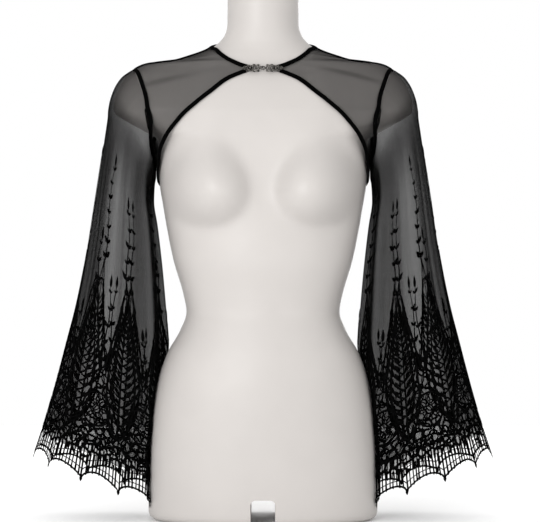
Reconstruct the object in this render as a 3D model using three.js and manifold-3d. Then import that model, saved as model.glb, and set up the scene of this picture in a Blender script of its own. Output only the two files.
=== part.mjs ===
// A sheer mesh bolero with bell sleeves and an openwork hem, fastened at the throat by a small clasp
// and worn by a smooth display torso that has no head, arms or legs.
// Millimetres, +Z up. The fronts face -Y, the wearer's left sleeve is on +X, and the torso stands on z = 0.
import * as THREE from 'three';
import { mergeVertices } from 'three/addons/utils/BufferGeometryUtils.js';
import Module from 'manifold-3d';

const wasm = await Module();
wasm.setup();

// Cloth and seams
const CLOTH = 1.0;
const CLOTH_GAP = 2.2;
const SEAM = 0.4;
const TAPE = 1.0;
const TAPE_GAP = 1.2;
const ARMHOLE_TAPE_REACH = 0.9;
const NECK_TAPE_WIDTH = 5.6;
const HEM_TAPE_WIDTH = 6;
const ARMHOLE_TAPE_WIDTH = 6.5;
const TAPE_OVERHANG = 0.8;
const HEM_TAPE_START = 0.97;
const NECK_FRONT_SHARE = 0.55;
const HEM_FRONT_SHARE = 0.62;

// The display torso
const TORSO_SIDES = 28;
const TALLEST_STEP = 36;
const NOTCH = { width: 35, height: 37, corner: 6 };
const FRONT_PACKING = 0.3;
const BUST = { apart: 80, z: 474, rise: 44, across: 62, above: 95, below: 52, softness: 0.2 };

// The bodice
const BRIDGES = [{ at: 590, over: 20, rise: 4.0 }, { at: 657, over: 9, rise: 0.9 }];
const SHOULDER_TIP_Z = 651;
const UNDERARM_Z = 525;
const HEM_Z = 484;
const SIDE_HEM_RISE = 6;
const SIDE_HEM_REACH = 0.12;
const BACK_HEM_RISE = 6;
const NECK_POINT_Z = 686;
const BACK_NECK_Z = 694;
const FRONT_GRID = { across: 13, up: 11, besideSeam: 2 };
const BACK_GRID = { across: 13, up: 13, besideSeam: 2, underShoulder: 7 };
const ARMHOLE_DRAWN_BACK = 0.012;
const LOW_BEND_FADE = 3;
const HIGH_BEND_FADE = 2;
const PACKED_TO_SIDE = 1.25;
const PACKED_TO_SHOULDER = 1.15;

// The sleeves
const SLEEVE_GRID = { around: 36, down: 12 };
const SLEEVE_ROWS_PACKED = 1.25;
const SLEEVE_TOP = 0.016;
const TORSO_CLEARANCE = 3.6;
const TOUCH_SOFTNESS = 0.03;
const ARMHOLE_FADE = 0.3;
const FOLDS_START = 0.12;
const HEM_MEASURED_AT = 0.96;

// The openwork edge, measured up each sleeve from the tips of its scallops
const SCALLOPS = 10;
const BARS_A_SCALLOP = 5;
const BAR_SHARE = 0.3;
const SCALLOP_DEPTH = 12;
const EDGE_CORD = 2.4;
const SHORT_GAP = 7.5;
const MIDDLE_CORD = 2.2;
const BARS_TOP = 36;
const OPENWORK_TOP = 56;
const OPENWORK_SEAM = 0.6;

// The clasp
const CLASP_PLATE = 1.5;
const CLASP_PROUD = 6.6;
const CLASP_AT = { x: 16.2, z: 646.8 };
const CLASP_ROUNDS = [
  { x: -6.6, y: 0, r: 5.6, hole: 2.6 },
  { x: 2.4, y: 0, r: 4.9, hole: 2.2 },
  { x: 9.6, y: 0, r: 3.8, hole: 1.5 },
  { x: -1.9, y: 4.4, r: 1.9, hole: 0 },
  { x: -1.9, y: -4.4, r: 1.9, hole: 0 },
  { x: 6.3, y: 3.4, r: 1.5, hole: 0 },
  { x: 6.3, y: -3.4, r: 1.5, hole: 0 },
];
const HOOK_WIRE = 0.9;
const EYE = { r: 3.6, hole: 2.2 };
const EYE_LINK = { x: 4.3, r: 1.4 };

const GIRTH_RADIUS = 110;
const QUARTER = Math.PI / 2;
const TURN = Math.PI * 2;

/** A smooth curve through rows of a position and a value, which never overshoots a row. */
function curveThrough(at, values) {
  const slopes = at.slice(1).map((x, k) => (values[k + 1] - values[k]) / (x - at[k]));
  const tangents = at.map((_, k) => {
    const before = slopes[Math.max(0, k - 1)];
    const after = slopes[Math.min(slopes.length - 1, k)];
    return before * after <= 0 ? 0 : 2 * before * after / (before + after);
  });
  return x => {
    let k = 0;
    while (k < at.length - 2 && x > at[k + 1]) k += 1;
    const step = at[k + 1] - at[k];
    const u = THREE.MathUtils.clamp((x - at[k]) / step, 0, 1);
    const rise = values[k + 1] - values[k];
    const ease = u * u * (3 - 2 * u);
    const leave = u * (1 - u) * (1 - u) * step * tangents[k];
    const arrive = u * u * (u - 1) * step * tangents[k + 1];
    return values[k] + rise * ease + leave + arrive;
  };
}

/** The columns of a table as named curves, each read by the table's first column. */
function curvesOf(names, rows) {
  const at = rows.map(row => row[0]);
  return Object.fromEntries(names.slice(1).map(
    (name, k) => [name, curveThrough(at, rows.map(row => row[k + 1]))]));
}

// The torso's level sections: half width, reach to the front and back, how far back the side lies,
// and how squarely the section fills its corners.
const torsoRows = [
  [0, 157, 78, 92, 10, 0],
  [3, 162, 84, 98, 10, 0],
  [8, 166, 88, 103, 10, 0],
  [75, 168, 92, 116, 12, 0],
  [143, 163.5, 94, 122, 12, 0],
  [195, 154.5, 95, 112, 10, 0],
  [240, 139.5, 90, 98, 6, 0],
  [275, 120, 84, 88, 2, 0],
  [301, 111, 80, 82, 0, 0],
  [327, 115.5, 82, 80, 0, 0],
  [375, 129.5, 90, 84, 0, 0],
  [421, 139, 93, 90, 0, 0],
  [459, 145.5, 92, 94, 2, 0.1],
  [484, 149.5, 91, 97, 3, 0.18],
  [525, 151, 90, 100, 4, 0.3],
  [552, 153, 87.5, 101, 5, 0.36],
  [556, 160, 87, 101, 5, 0.34],
  [587, 213, 80.5, 97, 6, 0.04],
  [591, 217, 79.3, 96, 6, 0.02],
  [600, 217.5, 76, 94, 7, 0],
  [622, 212, 67, 88, 8, 0],
  [641, 201, 58, 80, 8, 0],
  [651, 187, 53, 75, 8, 0],
  [657, 176, 51, 73, 8, 0],
  [660, 165, 50, 72, 8, 0],
  [663.5, 134, 49, 70, 8, 0],
  [671, 107, 47, 67, 7.5, 0],
  [680, 82, 45, 64, 6.5, 0],
  [690, 66, 44, 62, 6, 0],
  [702, 56, 45, 60, 6, 0],
  [716, 52, 47, 58.5, 6, 0],
  [745, 51.5, 50, 57, 4, 0],
  [771, 52, 53, 55, 1, 0],
  [774.5, 50, 51, 53, 1, 0],
  [776, 46, 47, 49, 1, 0],
];
const torso = curvesOf(['z', 'half', 'front', 'back', 'side', 'square'], torsoRows);

// The cloth's half width where it stands off the torso beside the armpits.
const CLOTH_JOINS_Z = 590;
const clothSide = curveThrough(
  [470, 484, 500, 515, 525, 535, 545, 555, 565, 575, 590],
  [149, 150, 151.8, 154.5, 157.5, 162, 168.5, 177, 187.5, 199.5, 217.2]);

function clothHalf(z) {
  return z < CLOTH_JOINS_Z ? Math.max(clothSide(z), torso.half(z)) : torso.half(z);
}

/** How far the bust stands out of the chest's own section: full below its middle and sloping above it. */
function bust(x, z) {
  const across = (Math.abs(x) - BUST.apart) / BUST.across;
  const up = z - BUST.z;
  const rounded = 1 - (up / BUST.below) ** 2;
  const sloping = (1 + Math.cos(Math.PI * Math.min(up / BUST.above, 1))) / 2;
  const share = (up > 0 ? sloping : rounded) - across * across;
  return BUST.rise * (share + Math.hypot(share, BUST.softness)) / 2;
}

/** A point of a level section: angle 0 is the +X side, a quarter turn the front, half a turn the -X side. */
function bodyPoint(angle, z, halfAt) {
  const c = Math.cos(angle);
  const s = Math.sin(angle) * (1 + torso.square(z) * c * c);
  const x = halfAt(z) * c;
  const side = torso.side(z);
  const reach = s > 0 ? torso.front(z) + side : torso.back(z) - side;
  return new THREE.Vector3(x, side - reach * s - bust(x, z) * Math.max(s, 0), z);
}

function bodyNormal(angle, z, halfAt) {
  const turn = 0.002;
  const lift = 0.05;
  const around = bodyPoint(angle + turn, z, halfAt).sub(bodyPoint(angle - turn, z, halfAt));
  const up = bodyPoint(angle, z + lift, halfAt).sub(bodyPoint(angle, z - lift, halfAt));
  return around.cross(up).negate().normalize();
}

/** How much further off the torso the cloth runs where it bridges the edges of the arm stubs. */
function bridging(z) {
  return BRIDGES.reduce((sum, { at, over, rise }) => sum + rise * Math.exp(-(((z - at) / over) ** 2)), 0);
}

/** A point of the bodice's cloth, which lies a distance off the torso. */
function clothPoint(angle, z, off) {
  return bodyPoint(angle, z, clothHalf).addScaledVector(bodyNormal(angle, z, clothHalf), off + bridging(z));
}

/** The angle at which the cloth's section at z has that x. */
function angleOf(x, z) {
  return Math.acos(THREE.MathUtils.clamp(x / clothHalf(z), -1, 1));
}

/** A closed body from points with an index, turned so that its faces point out. */
function closedBody(points, faces) {
  const volume = faces.reduce((sum, [a, b, c]) => {
    const cross = new THREE.Vector3().crossVectors(points[b], points[c]);
    return sum + points[a].dot(cross);
  }, 0);
  const index = faces.flatMap(([a, b, c]) => (volume > 0 ? [a, b, c] : [a, c, b]));
  const geometry = new THREE.BufferGeometry().setFromPoints(points);
  geometry.setIndex(index);
  return geometry;
}

/**
 * A cloth wall over a grid. pairAt(i, j) gives the outer and the inner point, closed joins the last column
 * to the first, and isGap(i, j) leaves a cell open with walls all round it.
 */
function clothWall(columns, rows, pairAt, closed = false, isGap = () => false) {
  const across = closed ? columns : columns + 1;
  const points = [];
  for (let j = 0; j <= rows; j += 1) {
    for (let i = 0; i < across; i += 1) points.push(...pairAt(i, j));
  }
  const at = (i, j, side) => 2 * (j * across + (i % across)) + side;
  const faces = [];
  const quad = (a, b, c, d) => faces.push([a, b, c], [a, c, d]);
  const isOpen = (i, j) => {
    const column = closed ? (i + columns) % columns : i;
    return column < 0 || column >= columns || j < 0 || j >= rows || isGap(column, j);
  };
  for (let j = 0; j < rows; j += 1) {
    for (let i = 0; i < columns; i += 1) {
      if (isGap(i, j)) continue;
      const ring = [[i, j], [i + 1, j], [i + 1, j + 1], [i, j + 1]];
      const outer = ring.map(([p, q]) => at(p, q, 0));
      const inner = ring.map(([p, q]) => at(p, q, 1));
      quad(...outer);
      quad(inner[3], inner[2], inner[1], inner[0]);
      const beyond = [[i, j - 1], [i + 1, j], [i, j + 1], [i - 1, j]];
      beyond.forEach(([p, q], k) => {
        const next = (k + 1) % 4;
        if (isOpen(p, q)) quad(outer[next], outer[k], inner[k], inner[next]);
      });
    }
  }
  return closedBody(points, faces);
}

/** A solid through level rings of the same number of points, with flat ends. */
function loft(rings) {
  const sides = rings[0].length;
  const points = rings.flat();
  const faces = [];
  for (let j = 0; j < rings.length - 1; j += 1) {
    for (let i = 0; i < sides; i += 1) {
      const a = j * sides + i;
      const b = j * sides + (i + 1) % sides;
      faces.push([a, b, b + sides], [a, b + sides, a + sides]);
    }
  }
  for (const first of [0, (rings.length - 1) * sides]) {
    const middle = points.length;
    const centre = new THREE.Vector3();
    for (let i = 0; i < sides; i += 1) centre.addScaledVector(points[first + i], 1 / sides);
    points.push(centre);
    for (let i = 0; i < sides; i += 1) {
      const a = first + i;
      const b = first + (i + 1) % sides;
      faces.push(first === 0 ? [b, a, middle] : [a, b, middle]);
    }
  }
  return closedBody(points, faces);
}

/** The same body on the other side of the wearer. */
function mirrored(geometry) {
  const points = [];
  const position = geometry.getAttribute('position');
  for (let k = 0; k < position.count; k += 1) {
    points.push(new THREE.Vector3(-position.getX(k), position.getY(k), position.getZ(k)));
  }
  const index = geometry.getIndex().array;
  const faces = [];
  for (let k = 0; k < index.length; k += 3) faces.push([index[k], index[k + 1], index[k + 2]]);
  return closedBody(points, faces);
}

function toManifold(geometry) {
  const bare = geometry.clone();
  bare.deleteAttribute('normal');
  bare.deleteAttribute('uv');
  const merged = mergeVertices(bare);
  return new wasm.Manifold(new wasm.Mesh({
    numProp: 3,
    vertProperties: new Float32Array(merged.getAttribute('position').array),
    triVerts: new Uint32Array(merged.getIndex().array),
  }));
}

function fromManifold(solid) {
  const made = solid.getMesh();
  const geometry = new THREE.BufferGeometry();
  geometry.setAttribute('position', new THREE.BufferAttribute(new Float32Array(made.vertProperties), 3));
  geometry.setIndex([...made.triVerts]);
  return geometry;
}

/** The heights of the torso's rings: each row of its table, with one half way where rows lie far apart. */
function torsoLevels() {
  return torsoRows.flatMap(([z], k) => {
    const next = k + 1 < torsoRows.length ? torsoRows[k + 1][0] : z;
    return next - z > TALLEST_STEP ? [z, (z + next) / 2] : [z];
  });
}

/** The display torso, with a square notch that parts its two short thighs. */
function displayTorso() {
  const rings = torsoLevels().map(z => Array.from({ length: TORSO_SIDES }, (_, i) => {
    const turn = TURN * i / TORSO_SIDES;
    return bodyPoint(turn + FRONT_PACKING * Math.cos(turn), z, torso.half);
  }));
  const half = NOTCH.width / 2;
  const outline = new THREE.Shape();
  outline.moveTo(-half, -NOTCH.height);
  outline.lineTo(half, -NOTCH.height);
  outline.lineTo(half, NOTCH.height - NOTCH.corner);
  outline.absarc(half - NOTCH.corner, NOTCH.height - NOTCH.corner, NOTCH.corner, 0, QUARTER);
  outline.absarc(NOTCH.corner - half, NOTCH.height - NOTCH.corner, NOTCH.corner, QUARTER, Math.PI);
  const depth = 300;
  const cutter = new THREE.ExtrudeGeometry(outline, { depth, bevelEnabled: false, curveSegments: 3 });
  cutter.rotateX(QUARTER);
  cutter.translate(0, depth / 2, 0);
  return fromManifold(toManifold(loft(rings)).subtract(toManifold(cutter)));
}

/** Points evenly spaced along a run of points, read from 0 at its start to 1 at its end. */
function alongPath(points) {
  const path = new THREE.CurvePath();
  points.slice(1).forEach((point, k) => path.add(new THREE.LineCurve3(points[k], point)));
  return share => path.getPointAt(THREE.MathUtils.clamp(share, 0, 1));
}

const steps = count => Array.from({ length: count + 1 }, (_, k) => k / count);

// The length up the cloth's side line, so that the nearly level shoulders count in full.
const sideHeights = steps(600).map(k => THREE.MathUtils.lerp(HEM_Z - 4, NECK_POINT_Z + 14, k));
const sideLengths = sideHeights.reduce((lengths, z, k) => {
  if (k === 0) return [0];
  const below = sideHeights[k - 1];
  return [...lengths, lengths[k - 1] + Math.hypot(clothHalf(z) - clothHalf(below), z - below)];
}, []);
const lengthUp = curveThrough(sideHeights, sideLengths);
const heightAt = curveThrough(sideLengths, sideHeights);

/** A place on the bodice's own plan: angle round the torso and length up its side. */
const place = (angle, z) => new THREE.Vector3(angle * GIRTH_RADIUS, lengthUp(z), 0);
const placeAtX = (x, z) => place(angleOf(x, z), z);
const angleAndHeight = point => ({ angle: point.x / GIRTH_RADIUS, z: heightAt(point.y) });

// Edges of the bodice as seen from the front or the back: x and z on the torso's own surface.
const neckRows = [[14, 652], [22, 653.5], [34, 657.5], [49, 664.5], [59, 672], [66, 679]];
const frontRows = [
  [150.6, 494], [150.2, 499], [148.6, 507], [146.5, 519], [143.5, 533], [137, 548],
  [123.5, 567], [101, 590], [76, 611], [50, 631.5], [34, 639], [21, 643.5], [14, 645]];
const backNeckRows = [[62, 690], [50, 692], [25, 693.7]];

// The armhole seam: how far round its section it lies at each share of the way down.
const armholeTurn = curveThrough(
  [0, 0.08, 0.16, 0.24, 0.32, 0.42, 0.5, 0.58, 0.67, 0.76, 0.87, 1],
  [0, 16, 26, 32, 36.5, 40.5, 41, 36, 26.5, 17, 8, 0].map(THREE.MathUtils.degToRad));

/** The armhole's angle and height, round from the shoulder tip at 0 through the front to the tip again. */
function armholeAt(turn) {
  const front = THREE.MathUtils.euclideanModulo(turn, TURN) <= Math.PI;
  const share = Math.abs(THREE.MathUtils.euclideanModulo(turn + Math.PI, TURN) - Math.PI) / Math.PI;
  const z = UNDERARM_Z + (SHOULDER_TIP_Z - UNDERARM_Z) * (1 + Math.cos(Math.PI * share)) / 2;
  return { angle: (front ? 1 : -1) * armholeTurn(share), z };
}

/** The hem's height round the back, from the side seam at angle 0: it rounds up into the front edges. */
function backHemHeight(angle) {
  const side = SIDE_HEM_RISE * Math.exp(-((angle / SIDE_HEM_REACH) ** 2));
  return HEM_Z + side + BACK_HEM_RISE * Math.sin(angle) ** 2;
}

/** Two runs of an edge one after the other, the first up to a given share. */
const inTurn = (first, second, share) => at => {
  return at < share ? first(at / share) : second((at - share) / (1 - share));
};

const shoulder = alongPath(
  steps(24).map(k => place(0, THREE.MathUtils.lerp(SHOULDER_TIP_Z, NECK_POINT_Z, k))));
const sideSeam = alongPath([place(0, UNDERARM_Z), place(0, backHemHeight(0))]);
const armhole = share => {
  const { angle, z } = armholeAt(Math.PI * (1 - share));
  return place(angle, z);
};
const frontEdge = alongPath([
  place(0, backHemHeight(0)), ...frontRows.map(([x, z]) => placeAtX(x, z))]);
const neckEdge = alongPath([
  placeAtX(...frontRows.at(-1)), ...neckRows.map(([x, z]) => placeAtX(x, z)), place(0, NECK_POINT_Z)]);
const neckLine = alongPath([...neckRows.map(([x, z]) => placeAtX(x, z)), place(0, NECK_POINT_Z)]);
const backHem = alongPath(steps(30).map(k => place(QUARTER * k, backHemHeight(QUARTER * k))));
const backNeck = alongPath([
  place(0, NECK_POINT_Z), ...backNeckRows.map(([x, z]) => placeAtX(x, z)), place(QUARTER, BACK_NECK_Z)]);
const centreBack = alongPath([place(QUARTER, HEM_Z + BACK_HEM_RISE), place(QUARTER, BACK_NECK_Z)]);

/**
 * A four-sided patch between edges: low and high run across from u 0 to 1, near and far run up from v 0 to 1.
 * Its rows run straight from near to far, and take on the bends of low and high only close to them.
 */
function patch(low, high, near, far) {
  const bend = (edge, u) => edge(u).sub(edge(0).lerp(edge(1), u));
  return (u, v) => {
    const point = near(v).lerp(far(v), u);
    point.addScaledVector(bend(low, u), (1 - v) ** LOW_BEND_FADE);
    return point.addScaledVector(bend(high, u), v ** HIGH_BEND_FADE);
  };
}

const downAndAcross = (edge, grid) => inTurn(sideSeam, edge, grid.besideSeam / grid.across);
const frontPatch = patch(
  downAndAcross(share => frontEdge(share ** PACKED_TO_SIDE), FRONT_GRID), shoulder, armhole, neckEdge);
const backPatch = patch(
  downAndAcross(backHem, BACK_GRID), inTurn(shoulder, backNeck, BACK_GRID.underShoulder / BACK_GRID.across),
  armhole, centreBack);

/** A bodice panel on the +X side, or a whole back where it runs on over the middle. */
function bodicePanel(surface, grid, isBack) {
  const columns = isBack ? grid.across * 2 : grid.across;
  return clothWall(columns, grid.up, (i, j) => {
    const side = i > grid.across ? -1 : 1;
    const u = Math.max((side > 0 ? i : columns - i) / grid.across, ARMHOLE_DRAWN_BACK);
    const { angle, z } = angleAndHeight(surface(u, 1 - (1 - j / grid.up) ** PACKED_TO_SHOULDER));
    const depth = isBack ? torso.back(z) - torso.side(z) : torso.front(z) + torso.side(z);
    const turned = Math.max(angle, SEAM / 2 / depth);
    return [CLOTH_GAP + CLOTH, CLOTH_GAP].map(off => {
      const point = clothPoint(isBack ? -turned : turned, z, off);
      point.x *= side;
      return point;
    });
  });
}

// The sleeve's sections from armhole to hem tips: the points over the arm and under it,
// then middle and half depth.
const sleeve = curvesOf(['t', 'overX', 'overZ', 'underX', 'underZ', 'middle', 'depth'], [
  [0, 189.5, 653.5, 159.6, 525, 6, 64],
  [1, 204.5, 641, 160.3, 516, 6, 62],
  [2, 215.5, 622, 160.8, 507, 6, 60],
  [3, 222, 599, 160.8, 497, 7, 58],
  [4, 227, 572, 160.3, 485, 8, 57],
  [5, 235, 521, 158, 460, 10, 55],
  [6, 245, 457, 153, 425, 12, 54],
  [7, 258, 376, 146.5, 366, 16, 55],
  [8, 273, 305, 141, 300, 20, 57],
  [9, 285, 260, 137.5, 252, 24, 59],
  [10, 297, 215, 135, 198, 28, 62],
  [11, 312, 162, 132, 128, 32, 65],
  [12, 335, 91, 128, 14, 35, 70],
].map(([row, ...rest]) => [row / 12, ...rest]));

// The sleeves' soft vertical folds: place round the section, breadth, and how far the hem stands out or in.
const FOLD_COLUMNS = ['place', 'breadth', 'out'];
const WEARERS_LEFT_FOLDS = [
  [28, 13, -5], [62, 15, 8], [96, 14, -9], [128, 13, 7],
  [205, 15, -6], [248, 16, 8], [290, 15, -8], [330, 14, 6]];
const WEARERS_RIGHT_FOLDS = [
  [24, 12, -6], [55, 14, 7], [84, 13, -8], [120, 15, 8],
  [212, 15, -7], [255, 15, 7], [296, 15, -7], [336, 13, 6]];

const named = rows => rows.map(row => Object.fromEntries(row.map((value, k) => [FOLD_COLUMNS[k], value])));

/** Pushes a point sideways out of the torso, so that cloth lies against the hip and never in it. */
function clearOfTorso(point) {
  const side = torso.side(point.z);
  const away = point.y - side;
  const reach = away < 0 ? torso.front(point.z) + side : torso.back(point.z) - side;
  const half = torso.half(point.z) + TORSO_CLEARANCE;
  const share = Math.hypot(point.x / half, away / (reach + TORSO_CLEARANCE));
  const kept = (share + 1 + Math.hypot(share - 1, TOUCH_SOFTNESS)) / 2;
  return new THREE.Vector3(point.x * kept / share, side + away * kept / share, point.z);
}

/** A sleeve's outer surface on +X: turn 0 is over the arm and a quarter turn the front; t runs down. */
function sleeveSurface(folds) {
  const ring = (turn, t) => {
    const half = new THREE.Vector3(
      sleeve.overX(t) - sleeve.underX(t), 0, sleeve.overZ(t) - sleeve.underZ(t)).multiplyScalar(0.5);
    const middle = new THREE.Vector3(sleeve.overX(t), 0, sleeve.overZ(t)).sub(half);
    const degrees = THREE.MathUtils.radToDeg(turn);
    const folded = folds.reduce((sum, { place: at, breadth, out }) => {
      const off = THREE.MathUtils.euclideanModulo(degrees - at + 180, 360) - 180;
      return sum + out * Math.exp(-((off / breadth) ** 2));
    }, 0) * THREE.MathUtils.smoothstep(t, FOLDS_START, 1);
    const stretch = 1 + folded / half.length();
    const point = middle.addScaledVector(half, Math.cos(turn) * stretch);
    point.y = sleeve.middle(t) - (sleeve.depth(t) + folded) * Math.sin(turn);
    return point;
  };
  return (turn, t) => {
    const point = ring(turn, t);
    const fade = 1 - THREE.MathUtils.smoothstep(t, 0, ARMHOLE_FADE);
    if (fade > 0) {
      const { angle, z } = armholeAt(turn);
      const seam = clothPoint(angle, z, CLOTH_GAP + CLOTH);
      point.addScaledVector(seam.sub(ring(turn, 0)), fade);
    }
    return clearOfTorso(point);
  };
}

function sleeveNormal(surface, turn, t) {
  const small = 0.004;
  const low = Math.max(t - small, 0);
  const high = Math.min(t + small, 1);
  const around = surface(turn + small, t).sub(surface(turn - small, t));
  const down = surface(turn, high).sub(surface(turn, low));
  return around.cross(down).normalize();
}

function sleevePair(surface, turn, t, thickness = CLOTH) {
  const outer = surface(turn, t);
  const inner = outer.clone().addScaledVector(sleeveNormal(surface, turn, t), -thickness);
  return [outer, inner];
}

/** The t that lies a length up the sleeve from its hem, at one turn. */
function upFromHem(surface, turn, length) {
  const step = 1 / 240;
  let t = 1;
  let left = length;
  let here = surface(turn, t);
  while (left > 0 && t > step) {
    const next = surface(turn, t - step);
    const run = next.distanceTo(here);
    if (run >= left) return t - step * left / run;
    left -= run;
    t -= step;
    here = next;
  }
  return t;
}

/** The turn at each share of the hem's length, so that the bars of the edge stand evenly. */
function evenTurns(surface) {
  const fine = 240;
  const turns = steps(fine).map(k => TURN * k);
  const lengths = [0];
  turns.slice(1).forEach((turn, k) => {
    lengths.push(lengths[k] + surface(turn, HEM_MEASURED_AT).distanceTo(surface(turns[k], HEM_MEASURED_AT)));
  });
  return curveThrough(lengths.map(length => length / lengths[fine]), turns);
}

/** The plain mesh of a sleeve, from its armhole seam down to the openwork. */
function sleeveTube(surface) {
  const { around, down } = SLEEVE_GRID;
  return clothWall(around, down, (i, j) => {
    const turn = TURN * i / around;
    const last = upFromHem(surface, turn, OPENWORK_TOP + OPENWORK_SEAM);
    const t = THREE.MathUtils.lerp(SLEEVE_TOP, last, (j / down) ** SLEEVE_ROWS_PACKED);
    return sleevePair(surface, turn, t);
  }, true);
}

/** Half of a sleeve's openwork edge: bars between cords over a row of pointed scallops. */
function openworkHalf(surface, firstScallop) {
  const turnAt = evenTurns(surface);
  const bars = SCALLOPS / 2 * BARS_A_SCALLOP;
  const columns = bars * 2 + 1;
  const rows = ['edge cord', 'short gaps', 'middle cord', 'long gaps', 'band'];
  const edges = [];
  for (let bar = 0; bar <= bars; bar += 1) {
    edges.push(bar - BAR_SHARE / 2, bar + BAR_SHARE / 2);
  }
  const endGap = SEAM / 2 / 9;
  edges[0] = endGap;
  edges[edges.length - 1] = bars - endGap;
  return clothWall(columns, rows.length, (i, j) => {
    const share = edges[i] / BARS_A_SCALLOP;
    const turn = turnAt((firstScallop + share) / SCALLOPS);
    const arch = SCALLOP_DEPTH * Math.abs(Math.sin(Math.PI * share)) ** 0.75;
    const middle = arch + EDGE_CORD + SHORT_GAP * (1 - 0.35 * arch / SCALLOP_DEPTH);
    const heights = [arch, arch + EDGE_CORD, middle, middle + MIDDLE_CORD, BARS_TOP, OPENWORK_TOP];
    return sleevePair(surface, turn, upFromHem(surface, turn, heights[j]));
  }, false, (i, j) => i % 2 === 1 && (j === 1 || j === 3));
}

/**
 * A tape that lies over cloth along a path. Each place gives points across the tape on the cloth's
 * outer face, each with its normal.
 */
function tape(placeAt, count) {
  const places = steps(count).map(placeAt);
  const columns = places[0].length - 1;
  return clothWall(count, columns, (i, j) => {
    const { point, normal } = places[i][j];
    return [TAPE_GAP + TAPE, TAPE_GAP].map(off => point.clone().addScaledVector(normal, off));
  });
}

/** The place a short way from another on the bodice's cloth, in a direction that lies along it. */
function stepOverCloth({ angle, z }, direction, length, face) {
  const small = 0.01;
  const here = clothPoint(angle, z, face);
  const around = clothPoint(angle + small, z, face).sub(here).divideScalar(small);
  const up = clothPoint(angle, z + small, face).sub(here).divideScalar(small);
  const [aa, au, uu] = [around.dot(around), around.dot(up), up.dot(up)];
  const [a, u] = [around.dot(direction) * length, up.dot(direction) * length];
  const scale = aa * uu - au * au;
  return { angle: angle + (a * uu - u * au) / scale, z: z + (u * aa - a * au) / scale };
}

/** The cloth's outer face at a place a short way from another, with the normal there. */
function nearBy(from, direction, length, face) {
  const { angle, z } = stepOverCloth(from, direction, length, face);
  return { point: clothPoint(angle, z, face), normal: bodyNormal(angle, z, clothHalf) };
}

/** Places across a tape of a width, along an edge of the bodice with the cloth above it or below it. */
function onBodice(edgeAt, width, clothIsAbove) {
  const small = 0.002;
  const face = CLOTH_GAP + CLOTH;
  return share => {
    const [before, here, after] = [share - small, share, share + small].map(at => {
      return edgeAt(THREE.MathUtils.clamp(at, 0, 1));
    });
    const run = clothPoint(after.angle, after.z, face).sub(clothPoint(before.angle, before.z, face));
    const normal = bodyNormal(here.angle, here.z, clothHalf);
    const inward = new THREE.Vector3().crossVectors(normal, run).normalize();
    if (!clothIsAbove) inward.negate();
    return [-TAPE_OVERHANG, width - TAPE_OVERHANG].map(off => nearBy(here, inward, off, face));
  };
}

/** An edge that runs over the +X front and back to the middle of the back, and on round the other side. */
function bothSides(front, back, frontShare) {
  return share => {
    const half = share < 0.5 ? share * 2 : 2 - share * 2;
    const isFront = half < frontShare;
    const found = isFront ? front(half / frontShare) : back((half - frontShare) / (1 - frontShare));
    const { angle, z } = angleAndHeight(found);
    const turned = isFront ? angle : -angle;
    return { angle: share < 0.5 ? turned : Math.PI - turned, z };
  };
}

const neckBindingEdge = bothSides(neckLine, backNeck, NECK_FRONT_SHARE);
const hemBindingEdge = bothSides(
  share => frontEdge(HEM_TAPE_START * (1 - share)), backHem, HEM_FRONT_SHARE);

/** Places across the tape over an armhole seam, from one side of the underarm's crease to the other. */
function onArmhole(surface) {
  return share => {
    const turn = Math.PI * ARMHOLE_TAPE_REACH * (1 - share * 2);
    const { angle, z } = armholeAt(turn);
    const face = CLOTH_GAP + CLOTH;
    const seam = clothPoint(angle, z, face);
    const small = 0.01;
    const run = surface(turn + small, 0).sub(surface(turn - small, 0)).normalize();
    const bodice = bodyNormal(angle, z, clothHalf);
    const inward = new THREE.Vector3().crossVectors(bodice, run).normalize();
    const half = ARMHOLE_TAPE_WIDTH / 2;
    const t = half / surface(turn, 0.02).distanceTo(surface(turn, 0)) * 0.02;
    const arm = sleeveNormal(surface, turn, t);
    return [
      nearBy({ angle, z }, inward, -half, face),
      { point: seam, normal: bodice.clone().add(arm).normalize() },
      { point: surface(turn, t), normal: arm },
    ];
  };
}

/** A flat plate of pierced rounds that run into each other, from z 0 up to a thickness. */
function roundsPlate(rounds, thickness) {
  const { CrossSection } = wasm;
  const disc = ({ x, y, r }) => CrossSection.circle(r, 14).translate([x, y]);
  const solid = CrossSection.union(rounds.map(disc));
  const holes = rounds.filter(round => round.hole > 0).map(({ x, y, hole }) => disc({ x, y, r: hole }));
  return wasm.Manifold.extrude(solid.subtract(CrossSection.union(holes)), thickness);
}

/** A round wire along a path, with plain ends. */
function wire(path, radius) {
  const curve = new THREE.CatmullRomCurve3(path.map(([x, y, z]) => new THREE.Vector3(x, y, z)));
  const tube = new THREE.TubeGeometry(curve, 12, radius, 7, false);
  const rings = Array.from({ length: 13 }, (_, j) => Array.from({ length: 7 }, (_, i) => {
    return new THREE.Vector3().fromBufferAttribute(tube.getAttribute('position'), j * 8 + i);
  }));
  return toManifold(loft(rings));
}

/** Lays a piece made flat at the origin onto the chest beside the throat, on either side. */
function onChest(solid, side) {
  const angle = angleOf(CLASP_AT.x, CLASP_AT.z);
  const out = bodyNormal(angle, CLASP_AT.z, clothHalf);
  out.x = 0;
  out.normalize();
  const across = new THREE.Vector3(1, 0, 0);
  const up = new THREE.Vector3().crossVectors(out, across);
  const frame = new THREE.Matrix4().makeBasis(across, up, out);
  const centre = clothPoint(angle, CLASP_AT.z, CLASP_PROUD);
  frame.setPosition(0, centre.y, centre.z);
  const geometry = fromManifold(solid).applyMatrix4(frame);
  return side > 0 ? geometry : mirrored(geometry);
}

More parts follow.
